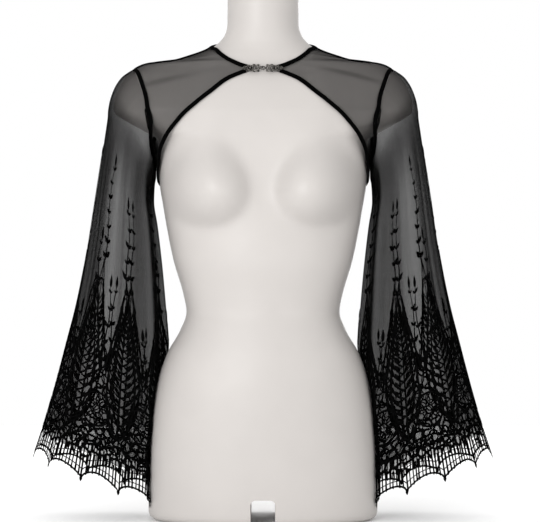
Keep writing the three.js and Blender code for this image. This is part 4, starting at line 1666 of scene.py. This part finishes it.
@dataclass
class Strokes:
    """Strokes and small filled shapes drawn in lace: breadth round the hem, and length up from it."""

    sleeve: Sleeve
    edge_lift: float = 0.28
    foot_lift: float = 0.12
    middle_lift: float = 0.1
    points: list[Array] = field(default_factory=list)
    faces: list[Array] = field(default_factory=list)
    count: int = 0

    def keep(self, points: Array, faces: Array) -> None:
        """Adds a body of points and triangles, turned round on the mirrored side.

        Args:
            points: The points.
            faces: The triangles.
        """
        self.points.append(points)
        self.faces.append((faces if self.sleeve.side > 0 else faces[:, ::-1]) + self.count)
        self.count += len(points)

    def lift(self, flat: Array, heights: Array | float) -> Array:
        """Lays drawn points over the sleeve."""
        return self.sleeve.lace_point(flat[..., 0] / self.sleeve.hem_length, flat[..., 1], heights)

    def stroke(self, run: Sequence[Array] | Array, width: float | Array, height: float = 0.9) -> None:
        """A cord along a run of drawn points, with blunt ends.

        Args:
            run: The drawn points.
            width: Its width, or one at each point.
            height: How far it stands off the cloth.
        """
        run = np.asarray(run, float)
        along = np.gradient(run, axis=0)
        normal = unit(np.stack([-along[:, 1], along[:, 0]], axis=-1))
        half = np.broadcast_to(np.asarray(width, float) / 2, (len(run),))[:, None]
        left, right = run + normal * half, run - normal * half
        rows = np.stack([
            self.lift(left, self.edge_lift), self.lift(run, height), self.lift(right, self.edge_lift),
            self.lift(run, self.foot_lift)], axis=1)
        quads = grid_faces(len(run), 4, True)
        end = (len(run) - 1) * 4
        caps = np.array([[2, 1, 0], [3, 2, 0], [end, end + 1, end + 2], [end, end + 2, end + 3]])
        self.keep(rows.reshape(-1, 3), np.concatenate([quads[:, [0, 1, 2]], quads[:, [0, 2, 3]], caps]))

    def blob(self, rim: Array, height: float = 1.0) -> None:
        """A filled shape with a domed face, from its rim taken anticlockwise.

        Args:
            rim: Drawn points of the rim.
            height: How far its middle stands off.
        """
        rim = np.asarray(rim, float)
        middle = rim.mean(axis=0)
        half = (rim + middle) / 2
        count = len(rim)
        points = np.concatenate([
            self.lift(rim, self.edge_lift), self.lift(half, height * 0.85), self.lift(middle[None], height),
            self.lift(middle[None], self.middle_lift)])
        i = np.arange(count)
        j = (i + 1) % count
        top, foot = np.full(count, 2 * count), np.full(count, 2 * count + 1)
        faces = np.concatenate([
            np.stack([i, j, j + count], -1), np.stack([i, j + count, i + count], -1),
            np.stack([i + count, j + count, top], -1), np.stack([j, i, foot], -1)])
        self.keep(points, faces)

    def piece(self, name: str) -> Piece:
        """Everything drawn so far as one mesh.

        Args:
            name: Its name.

        Returns:
            The piece.
        """
        points = np.concatenate(self.points)
        faces = np.concatenate(self.faces)
        return mesh_piece(name, points, outward(points, faces))


def drawn(s: Array, up: Array | float) -> Array:
    """Drawn points from places round the hem and lengths up from it."""
    return np.stack(np.broadcast_arrays(s, up), axis=-1)


def off_middle(s: float, middle: float, pitch: float) -> float:
    """How far a place lies from the nearest of the middles that come round at a pitch."""
    return (s - middle + pitch / 2) % pitch - pitch / 2


def curl(start: Sequence[float], end: Sequence[float], bow: float, count: int = 9) -> Array:
    """A run from one drawn point to another that bows to its left.

    Args:
        start: Where it starts.
        end: Where it ends.
        bow: Its bow, as a share of its length.
        count: How many points it has.

    Returns:
        The run.
    """
    start, end = np.asarray(start, float), np.asarray(end, float)
    share = np.linspace(0, 1, count)[:, None]
    side = np.array([start[1] - end[1], end[0] - start[0]])
    return start + (end - start) * share + side * bow * 4 * share * (1 - share)


def leaf_rim(base: Sequence[float], tip: Sequence[float], width: float, count: int = 5) -> Array:
    """The rim of a small leaf from base to tip.

    Args:
        base: Its base.
        tip: Its tip.
        width: Its width.
        count: How many points each side has.

    Returns:
        The rim.
    """
    base, tip = np.asarray(base, float), np.asarray(tip, float)
    along = tip - base
    side = np.array([-along[1], along[0]]) / max(np.linalg.norm(along), 1e-6)
    share = np.linspace(0, 1, count + 1)
    half = np.sin(np.pi * share ** 0.8) * width / 2
    right = base + along * share[:, None] - side * half[:, None]
    left = base + along * share[::-1, None] + side * half[::-1, None]
    return np.concatenate([right[:-1], left[:-1]])


@dataclass(frozen=True)
class Hole:
    """An upright oval place in the lace that the net ground keeps clear of."""

    at: float
    up: float
    wide: float
    high: float

    def holds(self, s: float, up: float, length: float) -> bool:
        """Whether a drawn point lies in it, on a border of that length that closes on itself."""
        off = off_middle(s, self.at, length)
        return (off / self.wide) ** 2 + ((up - self.up) / self.high) ** 2 < 1

    def rim(self, grow: float = 1.0, count: int = 18) -> Array:
        """Its outline, closed."""
        turn = np.linspace(0, TURN, count + 1)
        return drawn(self.at + self.wide * grow * np.cos(turn), self.up + self.high * grow * np.sin(turn))


EYELET_ROWS = (  # share of the way to the next leaf, off to each side, height, odd ones' rise, half sizes
    (0.5, 24, 66, 6, 7.0, 10.5), (0.5, 0, 144, 0, 7.4, 11.5), (0.5, 0, 64, 0, 7.6, 9.0),
    (0.5, 17, 140, 0, 5.0, 9.0), (0, 10, 53, 0, 4.8, 7.2), (0.5, 9, 175, 0, 5.2, 9.4))


@dataclass
class Border:
    """The lace of one sleeve: an openwork hem, a net ground, tall leaves, flowers, eyelets and stems.

    A cord is its width and its height off the cloth.
    """

    sleeve: Sleeve
    seed: int
    scallops: int = 10
    bars: int = 11
    arch: float = 13.0
    bars_top: float = 36.0
    leaves: int = 7
    leaf_base: float = 70.0
    leaf_tip: float = 296.0
    leaf_width: float = 50.0
    ground_top: float = 222.0
    ground_swag: float = 60.0
    cell: float = 12.0
    shortest: float = 0.3
    longest: float = 28.0
    stem_top: float = 450.0
    petals: int = 8
    edge_cord: Cord = (2.7, 1.1)
    tie_cord: Cord = (1.5, 0.9)
    tie_up: float = 12.0
    eyelet_cord: Cord = (2.6, 1.1)
    vein_cord: Cord = (2.8, 1.1)
    swag_cord: Cord = (3.4, 1.2)
    under_swag_cord: Cord = (1.8, 1.0)
    flower_cords: tuple[float, float] = (3.4, 2.6)
    petal_cord: Cord = (2.2, 1.2)
    spoke_cord: Cord = (2.6, 1.1)
    net_widths: tuple[float, float] = (3.7, 1.3)
    net_height: float = 0.85
    tips: tuple[float, ...] = (16, -20, 2)
    stem_drops: tuple[float, ...] = (0, 110, 46)

    def __post_init__(self) -> None:
        """Sets what follows from the hem's length."""
        self.random = random.Random(self.seed)
        self.length = self.sleeve.hem_length
        self.pitch = self.length / self.leaves
        self.flowers = [Hole((k + 0.5) * self.pitch, 103, 23, 24) for k in range(self.leaves)]
        self.eyelets = []
        for k in range(self.leaves):
            for from_leaf, off, up, rise, wide, high in EYELET_ROWS:
                for way in (-1, 1) if off else (0,):
                    middle = (k + from_leaf) * self.pitch + way * off
                    self.eyelets.append(Hole(middle, up + rise * (k % 2), wide, high))

    def arch_height(self, s: Array) -> Array:
        """How far the edge rises over each scallop, which leans a little."""
        share = np.mod(np.asarray(s) * self.scallops / self.length, 1)
        return self.arch * np.sin(np.pi * share ** 0.8) ** 0.75

    def bar_top(self, s: Array) -> Array:
        """Where the bars run into the lace, which is uneven."""
        turn = TURN * np.asarray(s) / self.length
        return self.bars_top + 2.2 * np.sin(turn * 9 + self.seed) + 1.6 * np.sin(turn * 23)

    def ground_height(self, s: Array) -> Array:
        """The top of the net ground, which hangs in swags between the tall leaves."""
        swing = np.cos(TURN * np.asarray(s) / self.pitch)
        return self.ground_top + self.ground_swag * np.sign(swing) * np.abs(swing) ** 1.3

    def leaf_half(self, share: Array) -> Array:
        """A tall leaf's half width at shares of its height: round below and drawn out to a point above."""
        share = np.clip(share, 0, 1)
        return self.leaf_width / 2 * np.sin(np.pi * share ** 0.62) ** 1.15

    def tip_of(self, k: int) -> float:
        """A tall leaf's height."""
        return self.leaf_tip + self.tips[k % len(self.tips)]

    def in_leaf(self, s: float, up: float) -> bool:
        """Whether a drawn point lies inside a tall leaf.

        Args:
            s: Its place round the hem.
            up: Its length up from the hem.

        Returns:
            Whether it is so.
        """
        k = round(s / self.pitch) % self.leaves
        off = off_middle(s, 0, self.pitch)
        share = (up - self.leaf_base) / (self.tip_of(k) - self.leaf_base)
        return 0 < share < 1 and abs(off) < float(self.leaf_half(np.array(share))) - 0.5

    def is_ground(self, s: float, up: float) -> bool:
        """Whether a place belongs to the net, and to no leaf, flower or eyelet.

        Args:
            s: Its place round the hem.
            up: Its length up from the hem.

        Returns:
            Whether it is so.
        """
        if not -0.01 <= s < self.length - 0.01:
            return False
        if not float(self.bar_top(s)) - 2 < up < float(self.ground_height(s)) or self.in_leaf(s, up):
            return False
        return not any(hole.holds(s, up, self.length) for hole in self.flowers + self.eyelets)

    def hem(self, draw: Strokes) -> None:
        """Bars that hang from the lace to a pointed edge, tied by a low cord.

        Args:
            draw: The drawing.
        """
        s = np.linspace(0, self.length, self.scallops * 18 + 1)
        edge = self.arch_height(s)
        draw.stroke(drawn(s, edge + 1.0), *self.edge_cord)
        draw.stroke(drawn(s, edge * 0.7 + self.tie_up), *self.tie_cord)
        total = self.scallops * self.bars
        for k in range(total):
            at = (k + self.random.uniform(-0.16, 0.16)) * self.length / total
            low = float(self.arch_height(at))
            high = float(self.bar_top(at)) + self.random.uniform(-1, 5)
            lean = self.random.uniform(-0.9, 0.9)
            wide = self.random.uniform(1.9, 2.9)
            run = [[at + lean, low - 0.6], [at + lean * 0.3, (low + high) / 2], [at, high]]
            draw.stroke(run, np.array([wide, wide * 0.85, wide * 1.15]))
            if k % 2:
                draw.blob(leaf_rim((at, low + 1.2), (at, low - 2.2), 2.2, 3), 1.0)
        for k in range(self.scallops):
            at = k * self.length / self.scallops
            draw.blob(leaf_rim((at, 4.0), (at, -5.5), 4.4, 4), 1.2)

    def net_seeds(self) -> list[Vector]:
        """One point for each cell of the net, on uneven rows that close round the sleeve.

        Returns:
            The drawn points.
        """
        seeds = []
        rows = int((self.ground_top + self.ground_swag - self.bars_top) / (self.cell * 0.92)) + 3
        columns = round(self.length / self.cell)
        for j in range(-1, rows):
            for i in range(-3, columns + 3):
                wobble = random.Random((i % columns) * 977 + j * 31 + self.seed)
                s = (i + 0.5 * (j % 2) + wobble.uniform(-0.4, 0.4)) * self.length / columns
                stretch = 1 + 0.3 * j / rows
                up = self.bars_top + 1 + (j + wobble.uniform(-0.38, 0.38)) * self.cell * 0.92 * stretch
                seeds.append(Vector((s, up)))
        return seeds

    def ground(self, draw: Strokes) -> None:
        """An uneven net of thick cords round rounded cells.

        Args:
            draw: The drawing.
        """
        corners, _, triangles, *_ = delaunay_2d_cdt(self.net_seeds(), [], [], 0, 1e-4)
        corners = np.array([tuple(corner) for corner in corners])
        centres, sharing = [], {}
        for number, face in enumerate(triangles):
            centres.append(np.array(self.round_centre(*corners[list(face)])))
            for k in range(3):
                pair = tuple(sorted((face[k], face[(k + 1) % 3])))
                sharing.setdefault(pair, []).append(number)
        knots = {}
        for pair in sharing.values():
            ends = [centres[k] for k in pair]
            middle = (ends[0] + ends[-1]) / 2
            length = np.linalg.norm(ends[0] - ends[-1])
            if len(pair) != 2 or length > self.longest or not self.is_ground(*middle):
                continue
            share = (middle[1] - self.bars_top) / (self.ground_top - self.bars_top)
            width = self.net_widths[0] - self.net_widths[1] * min(share, 1)
            if length > self.shortest:
                draw.stroke(ends, width, self.net_height)
            for k, end in zip(pair, ends):
                knots.setdefault(k, (end, [], width))[1].append(middle)
        for centre, ends, width in knots.values():
            if len(ends) > 2:
                self.knot(draw, centre, ends, width)

    @staticmethod
    def knot(draw: Strokes, centre: Array, ends: list[Array], width: float) -> None:
        """Fills the meeting of three cords, so that the cells beside it have round corners.

        Args:
            draw: The drawing.
            centre: Where they meet.
            ends: The cords' middles.
            width: The cords' width.
        """
        rim = []
        for end in sorted(ends, key=lambda end: math.atan2(end[1] - centre[1], end[0] - centre[0])):
            away = end - centre
            size = float(np.linalg.norm(away))
            if size < 0.4:
                continue
            away = away / size
            side = np.array([-away[1], away[0]]) * width * 0.46
            tip = centre + away * min(size, width)
            rim += [tip - side, tip + side]
        if len(rim) >= 5:
            draw.blob(np.array(rim), 0.95)

    @staticmethod
    def round_centre(a: Array, b: Array, c: Array) -> tuple[float, float]:
        """The centre of the circle through three points, kept near their own middle.

        Args:
            a: The first point.
            b: The second.
            c: The third.

        Returns:
            The centre.
        """
        ax, ay = b - a
        bx, by = c - a
        area = 2 * (ax * by - ay * bx)
        middle = (a + b + c) / 3
        if abs(area) < 1e-6:
            return tuple(middle)
        x = (by * (ax * ax + ay * ay) - ay * (bx * bx + by * by)) / area
        y = (ax * (bx * bx + by * by) - bx * (ax * ax + ay * ay)) / area
        away = a + np.array([x, y]) - middle
        size = np.linalg.norm(away)
        return tuple(middle + away * min(1, 6 / max(size, 1e-6)))

    def tall_leaf(self, draw: Strokes, at: float, tip: float) -> None:
        """An upright leaf: a bold rim, a midrib and paired veins that part its rounded openings.

        Args:
            draw: The drawing.
            at: Its middle.
            tip: Its tip's height.
        """
        share = np.linspace(0, 1, 36)
        up = self.leaf_base + (tip - self.leaf_base) * share
        half = self.leaf_half(share)
        for side in (-1, 1):
            draw.stroke(drawn(at + side * half, up), 4.6 - 2.4 * share, 1.4)
        draw.stroke(drawn(at, up), 4.4 - 3.0 * share, 1.5)
        low, gap = self.leaf_base - 8, 15.0
        while low < tip - 56:
            high = low + 27
            place = max((high - self.leaf_base) / (tip - self.leaf_base), 0.02)
            reach = float(self.leaf_half(np.array(place)))
            foot = max(low, self.leaf_base + 1)
            for side in (-1, 1):
                draw.stroke(curl((at, foot), (at + side * reach, high), -0.14 * side, 8), *self.vein_cord)
                if reach > 12:
                    spot = np.array([at + side * reach * 0.58, low + 25.0])
                    draw.blob(leaf_rim(spot - (side * 3.4, 5.4), spot + (side * 3.0, 4.8), 4.6, 4), 1.2)
            low += gap
            gap *= 0.96

    def swag(self, draw: Strokes) -> None:
        """The bold cord and the small leaves along the top of the ground.

        Args:
            draw: The drawing.
        """
        s = np.linspace(0, self.length, self.leaves * 30 + 1)
        top = self.ground_height(s)
        draw.stroke(drawn(s, top), *self.swag_cord)
        draw.stroke(drawn(s, top - 6.5), *self.under_swag_cord)
        count = self.leaves * 10
        for k in range(count):
            at = (k + 0.5) * self.length / count
            low = float(self.ground_height(at)) + 1
            if self.in_leaf(at, low + 3):
                continue
            lean = off_middle(at, 0, self.pitch) / self.pitch * 9
            draw.blob(leaf_rim((at, low), (at - lean + self.random.uniform(-1, 1), low + 10), 4.4, 4), 1.2)

    def flower(self, draw: Strokes, hole: Hole) -> None:
        """A round flower of open petals in a ring.

        Args:
            draw: The drawing.
            hole: Its place and size.
        """
        for size, width in zip((1.0, 0.25), self.flower_cords):
            draw.stroke(hole.rim(size, 24), width, 1.3)
        centre = np.array([hole.at, hole.up])
        for k in range(self.petals):
            turn = TURN * k / self.petals
            way = np.array([math.cos(turn) * hole.wide, math.sin(turn) * hole.high])
            base, end = centre + way * 0.28, centre + way * 0.82
            for bow in (-1, 1):
                draw.stroke(curl(base, end, 0.19 * bow, 7), *self.petal_cord)
            draw.stroke([end, centre + way], *self.spoke_cord)

    def stem(self, draw: Strokes, at: float, low: float, high: float, sway: float, leaf: float) -> None:
        """A climbing stem with small leaves in turn on either side and a bud at its tip.

        Args:
            draw: The drawing.
            at: Its middle.
            low: Where it starts.
            high: Where it ends.
            sway: How far it sways.
            leaf: Its lowest leaves' length.
        """
        share = np.linspace(0, 1, 40)
        up = low + (high - low) * share
        s = at + sway * np.sin(share * math.pi * 2.2)
        draw.stroke(drawn(s, up), 3.6 - 2.0 * share, 1.0)
        count = int((high - low) / 21)
        for k in range(count):
            place = (k + 0.6) / count
            x, y = float(np.interp(place, share, s)), low + (high - low) * place
            side = 1 if k % 2 else -1
            size = leaf * (1 - 0.35 * place) * self.random.uniform(0.8, 1.15)
            draw.blob(leaf_rim((x, y), (x + side * size * 0.7, y + size * 0.72), size * 0.5, 4), 1.1)
            draw.blob(leaf_rim((x, y), (x - side * size * 0.55, y + size * 0.5), size * 0.42, 4), 1.1)
        top = float(s[-1])
        draw.blob(leaf_rim((top, high - 3), (top, high + 17), 7.0, 5), 1.3)

    def build(self, wardrobe: Wardrobe) -> list[Piece]:
        """Draws and dresses the lace in three pieces.

        Args:
            wardrobe: The finishes.

        Returns:
            The pieces.
        """
        word = self.sleeve.word
        made = []
        draw = Strokes(self.sleeve)
        self.hem(draw)
        nodes = (f"openwork_{word}_front", f"openwork_{word}_back")
        made.append(dress(draw.piece(f"hem_bars_{word}"), wardrobe.thread, Slot.LACE, *nodes))
        draw = Strokes(self.sleeve)
        self.ground(draw)
        for hole in self.eyelets:
            draw.stroke(hole.rim(), *self.eyelet_cord)
        made.append(dress(draw.piece(f"net_ground_{word}"), wardrobe.thread, Slot.LACE))
        draw = Strokes(self.sleeve)
        self.swag(draw)
        for k in range(self.leaves):
            tip = self.tip_of(k)
            self.tall_leaf(draw, k * self.pitch, tip)
            sway = 3.0 * (1 if k % 2 else -1)
            top = self.stem_top - self.stem_drops[k % len(self.stem_drops)]
            self.stem(draw, k * self.pitch, tip - 12, top, sway, 15)
            self.flower(draw, self.flowers[k])
            middle = (k + 0.5) * self.pitch
            top = float(self.ground_height(middle))
            self.stem(draw, middle, top - 4, top + 66 + 52 * (k % 2), -2.5, 14)
        made.append(dress(draw.piece(f"leaf_lace_{word}"), wardrobe.thread, Slot.LACE))
        return made


# The clasp


ROUND_ROWS = (  # place along the half, the ring's radius and wire, the radius of the bead inside it
    (9.4, 4.5, 1.0, 2.2), (18.4, 3.7, 0.95, 1.7), (25.4, 2.6, 0.85, 1.1))
BEAD_ROWS = (  # place along the half, off to each side, radius
    (14.2, 3.6, 1.5), (22.3, 2.8, 1.2))
SCROLL_ROWS = (  # place along the half, off to each side, size, way that it opens
    (12.4, 4.2, 2.3, 1), (20.8, 3.3, 1.9, 1), (6.8, 4.4, 1.7, -1))
HOOK_ROWS = (  # place along the half, 0, height over the cloth
    (5.8, 0, 1.0), (4.8, 0, 3.6), (1.6, 0, 3.8), (0.1, 0, 2.16), (-0.2, 0, -0.4))


@dataclass
class Clasp:
    """A small cast clasp of pierced scrolls, closed by a hook through an eye."""

    middle: float = 16.2
    height: float = 646.8
    proud: float = 4.6
    plate: float = 2.0
    end: float = 28.6
    scroll_wire: float = 0.62
    hook_wire: float = 0.75
    turns: float = 1.35
    curls_in: float = 1.75

    def place(self, piece: Piece, side: int) -> None:
        """Moves a flat piece made at the origin onto the chest beside the throat.

        Args:
            piece: The piece.
            side: 1 for the wearer's left and -1 for the right.
        """
        angle = float(BODY.angle_of(self.middle, self.height))
        out = BODY.normal(np.array(angle), np.array(self.height))
        out = unit(np.array([0, out[1], out[2]]))
        up = np.cross(out, np.array([1.0, 0, 0]))
        centre = BODY.cloth(np.array(angle), np.array(self.height), self.proud)
        x, y, z = read_places(piece).T * 1000
        points = np.array([0, centre[1], centre[2]]) + np.stack([
            x, y * up[1] + z * out[1], y * up[2] + z * out[2]], axis=-1)
        points[:, 0] *= side
        if side < 0:
            piece.data.flip_normals()
        write_places(piece, points)

    def ring(self, x: float, radius: float, wire: float) -> Piece:
        """A cast ring lying flat.

        Args:
            x: Its place along the half.
            radius: Its radius.
            wire: Its wire's radius.

        Returns:
            The ring.
        """
        deselect_all()
        bpy.ops.mesh.primitive_torus_add(
            location=(x * MM, 0, self.plate / 2 * MM), major_radius=radius * MM, minor_radius=wire * MM,
            major_segments=28, minor_segments=10)
        return bpy.context.active_object

    def bead(self, x: float, y: float, radius: float, rise: float = 0) -> Piece:
        """A cast bead.

        Args:
            x: Its place along the half.
            y: Its place across it.
            radius: Its radius.
            rise: How far it stands over the plate's middle.

        Returns:
            The bead.
        """
        deselect_all()
        bpy.ops.mesh.primitive_uv_sphere_add(
            segments=14, ring_count=9, radius=radius * MM,
            location=(x * MM, y * MM, (self.plate / 2 + rise) * MM))
        return bpy.context.active_object

    def wire(self, name: str, path: Points, radius: float) -> Piece:
        """A round wire through points, made a mesh.

        Args:
            name: Its name.
            path: The points.
            radius: Its radius.

        Returns:
            The wire.
        """
        curve = bpy.data.curves.new(name, "CURVE")
        curve.dimensions = "3D"
        curve.bevel_depth = radius * MM
        curve.bevel_resolution = 3
        curve.resolution_u = 6
        curve.use_fill_caps = True
        line = curve.splines.new("BEZIER")
        line.bezier_points.add(len(path) - 1)
        for point, place in zip(line.bezier_points, path):
            point.co = Vector(place) * MM
            point.handle_left_type = point.handle_right_type = "AUTO"
        piece = bpy.data.objects.new(name, curve)
        bpy.context.scene.collection.objects.link(piece)
        select_only(piece)
        bpy.ops.object.convert(target="MESH")
        bpy.ops.object.mode_set(mode="EDIT")
        close_up(1e-7)
        bpy.ops.mesh.normals_make_consistent(inside=False)
        bpy.ops.object.mode_set(mode="OBJECT")
        return bpy.context.active_object

    def scroll(self, x: float, y: float, size: float, way: int, side: int) -> Piece:
        """A spiral scroll that curls in on itself.

        Args:
            x: Its place along the half.
            y: Its place across it.
            size: Its size.
            way: 1 if it lies above the middle and -1 below.
            side: 1 if it opens outwards, -1 if inwards.

        Returns:
            The scroll.
        """
        turns = np.linspace(0, TURN * self.turns, 16)
        radius = size * (1 - turns / (TURN * self.curls_in))
        path = np.stack([
            x + side * radius * np.cos(turns), y + way * radius * np.sin(turns),
            np.full_like(turns, self.plate * 0.55)], axis=-1)
        return self.wire("scroll", path.tolist(), self.scroll_wire)

    def half(self, side: int) -> Piece:
        """One half: scrolls and rings of falling size with beads, and its hook or eye.

        Args:
            side: 1 for the wearer's left and -1 for the right.

        Returns:
            The half.
        """
        parts = [self.ring(x, radius, wire) for x, radius, wire, _ in ROUND_ROWS]
        parts += [self.bead(x, 0, inside, 0.2) for x, _, _, inside in ROUND_ROWS]
        parts += [self.bead(x, way * off, radius) for x, off, radius in BEAD_ROWS for way in (-1, 1)]
        parts.append(self.bead(self.end, 0, 1.2))
        for way in (-1, 1):
            parts += [self.scroll(x, way * off, size, way, opens) for x, off, size, opens in SCROLL_ROWS]
        if side > 0:
            parts += [self.ring(0, 2.9, 0.72), self.bead(4.0, 0, 1.2)]
        else:
            parts.append(self.wire("hook", HOOK_ROWS, self.hook_wire))
        deselect_all()
        for part in parts:
            part.select_set(True)
        bpy.context.view_layer.objects.active = parts[0]
        bpy.ops.object.join()
        piece = bpy.context.active_object
        bpy.ops.object.transform_apply(location=True, rotation=True, scale=True)
        bpy.ops.object.shade_smooth()
        piece.name = "eye_clasp" if side > 0 else "hook_clasp"
        self.place(piece, side)
        return piece

    def build(self, wardrobe: Wardrobe) -> list[Piece]:
        """Casts both halves.

        Args:
            wardrobe: The finishes.

        Returns:
            Both halves.
        """
        return [
            dress(self.half(1), wardrobe.silver, Slot.SILVER, "clasp_eye"),
            dress(self.half(-1), wardrobe.silver, Slot.SILVER, "clasp_hook")]


# The studio

LIGHT_ROWS = (  # name, place and size in metres, power in watts
    ("key", (-0.95, -2.2, 0.62), 1.2, 37.0), ("fill", (1.1, -2.2, 0.4), 1.2, 9.0),
    ("back", (0.15, 2.3, 0.5), 1.6, 24.0))


@dataclass
class Studio:
    """A white studio: floor, soft lights and a level camera."""

    frame_width: int = 540
    frame_height: int = 522
    pixel: float = 1.45
    middle_x: float = 263.0
    base_y: float = 519.5
    distance: float = 3.2
    brightness: float = 1.0
    floor_size: float = 3.6
    floor_drop: float = 0.0005
    look_at: float = 0.42

    def build(self) -> None:
        """Sets the camera, the lights, the world and the floor."""
        scene = bpy.context.scene
        lens = bpy.data.cameras.new("camera")
        lens.sensor_width = 36
        lens.lens = 36 * self.distance / (self.frame_width * self.pixel * MM)
        lens.clip_end = 50
        camera = bpy.data.objects.new("camera", lens)
        x = (self.frame_width / 2 - self.middle_x) * self.pixel * MM
        z = (self.base_y - self.frame_height / 2) * self.pixel * MM
        camera.location = (x, -self.distance, z)
        camera.rotation_euler = (QUARTER, 0, 0)
        scene.collection.objects.link(camera)
        scene.camera = camera
        self.world(scene)
        self.floor()
        for row in LIGHT_ROWS:
            self.light(*row)
        scene.view_settings.view_transform = "Standard"
        scene.view_settings.look = "None"

    def world(self, scene: bpy.types.Scene) -> None:
        """An even white surround.

        Args:
            scene: The scene.
        """
        world = bpy.data.worlds.new("studio")
        world.use_nodes = True
        background = next(n for n in world.node_tree.nodes if n.type == "BACKGROUND")
        background.inputs["Color"].default_value = (1, 1, 1, 1)
        background.inputs["Strength"].default_value = self.brightness
        scene.world = world

    def floor(self) -> None:
        """A plain pale floor."""
        deselect_all()
        bpy.ops.mesh.primitive_plane_add(size=self.floor_size, location=(0, 0, -self.floor_drop))
        floor = bpy.context.active_object
        floor.name = "floor"
        nodes = Nodes("floor_paper")
        nodes.settle(Base_Color=(0.96, 0.96, 0.96, 1), Roughness=0.9, Specular_IOR_Level=0.1)
        floor.data.materials.append(nodes.material)

    def light(self, name: str, place: tuple[float, float, float], size: float, power: float) -> None:
        """A large soft light turned to the torso's middle.

        Args:
            name: Its name.
            place: Where it stands.
            size: Its size.
            power: Its power.
        """
        data = bpy.data.lights.new(name, "AREA")
        data.size = size
        data.energy = power
        light = bpy.data.objects.new(name, data)
        light.location = place
        away = Vector((0, 0, self.look_at)) - Vector(place)
        light.rotation_euler = away.to_track_quat("-Z", "Y").to_euler()
        bpy.context.scene.collection.objects.link(light)


def main() -> None:
    """Builds the torso form, the bolero and the studio in order."""
    logging.basicConfig(level=logging.INFO, format="%(name)s: %(message)s")
    wardrobe = Wardrobe()
    Studio().build()
    TorsoForm().build(wardrobe)
    Bodice().build(wardrobe)
    sleeves = [
        Sleeve(1, "left", LEFT_FOLDS, LEFT_GATHERS_AND_SHADE), Sleeve(-1, "right", RIGHT_FOLDS, RIGHT_GATHERS_AND_SHADE)]
    for sleeve in sleeves:
        log.info("sleeve %s: hem %.0f mm", sleeve.word, sleeve.hem_length)
        sleeve.build(wardrobe)
        Border(sleeve, 7 if sleeve.side > 0 else 19).build(wardrobe)
    Bindings().build(wardrobe, sleeves)
    Clasp().build(wardrobe)


if __name__ == "__main__":
    main()
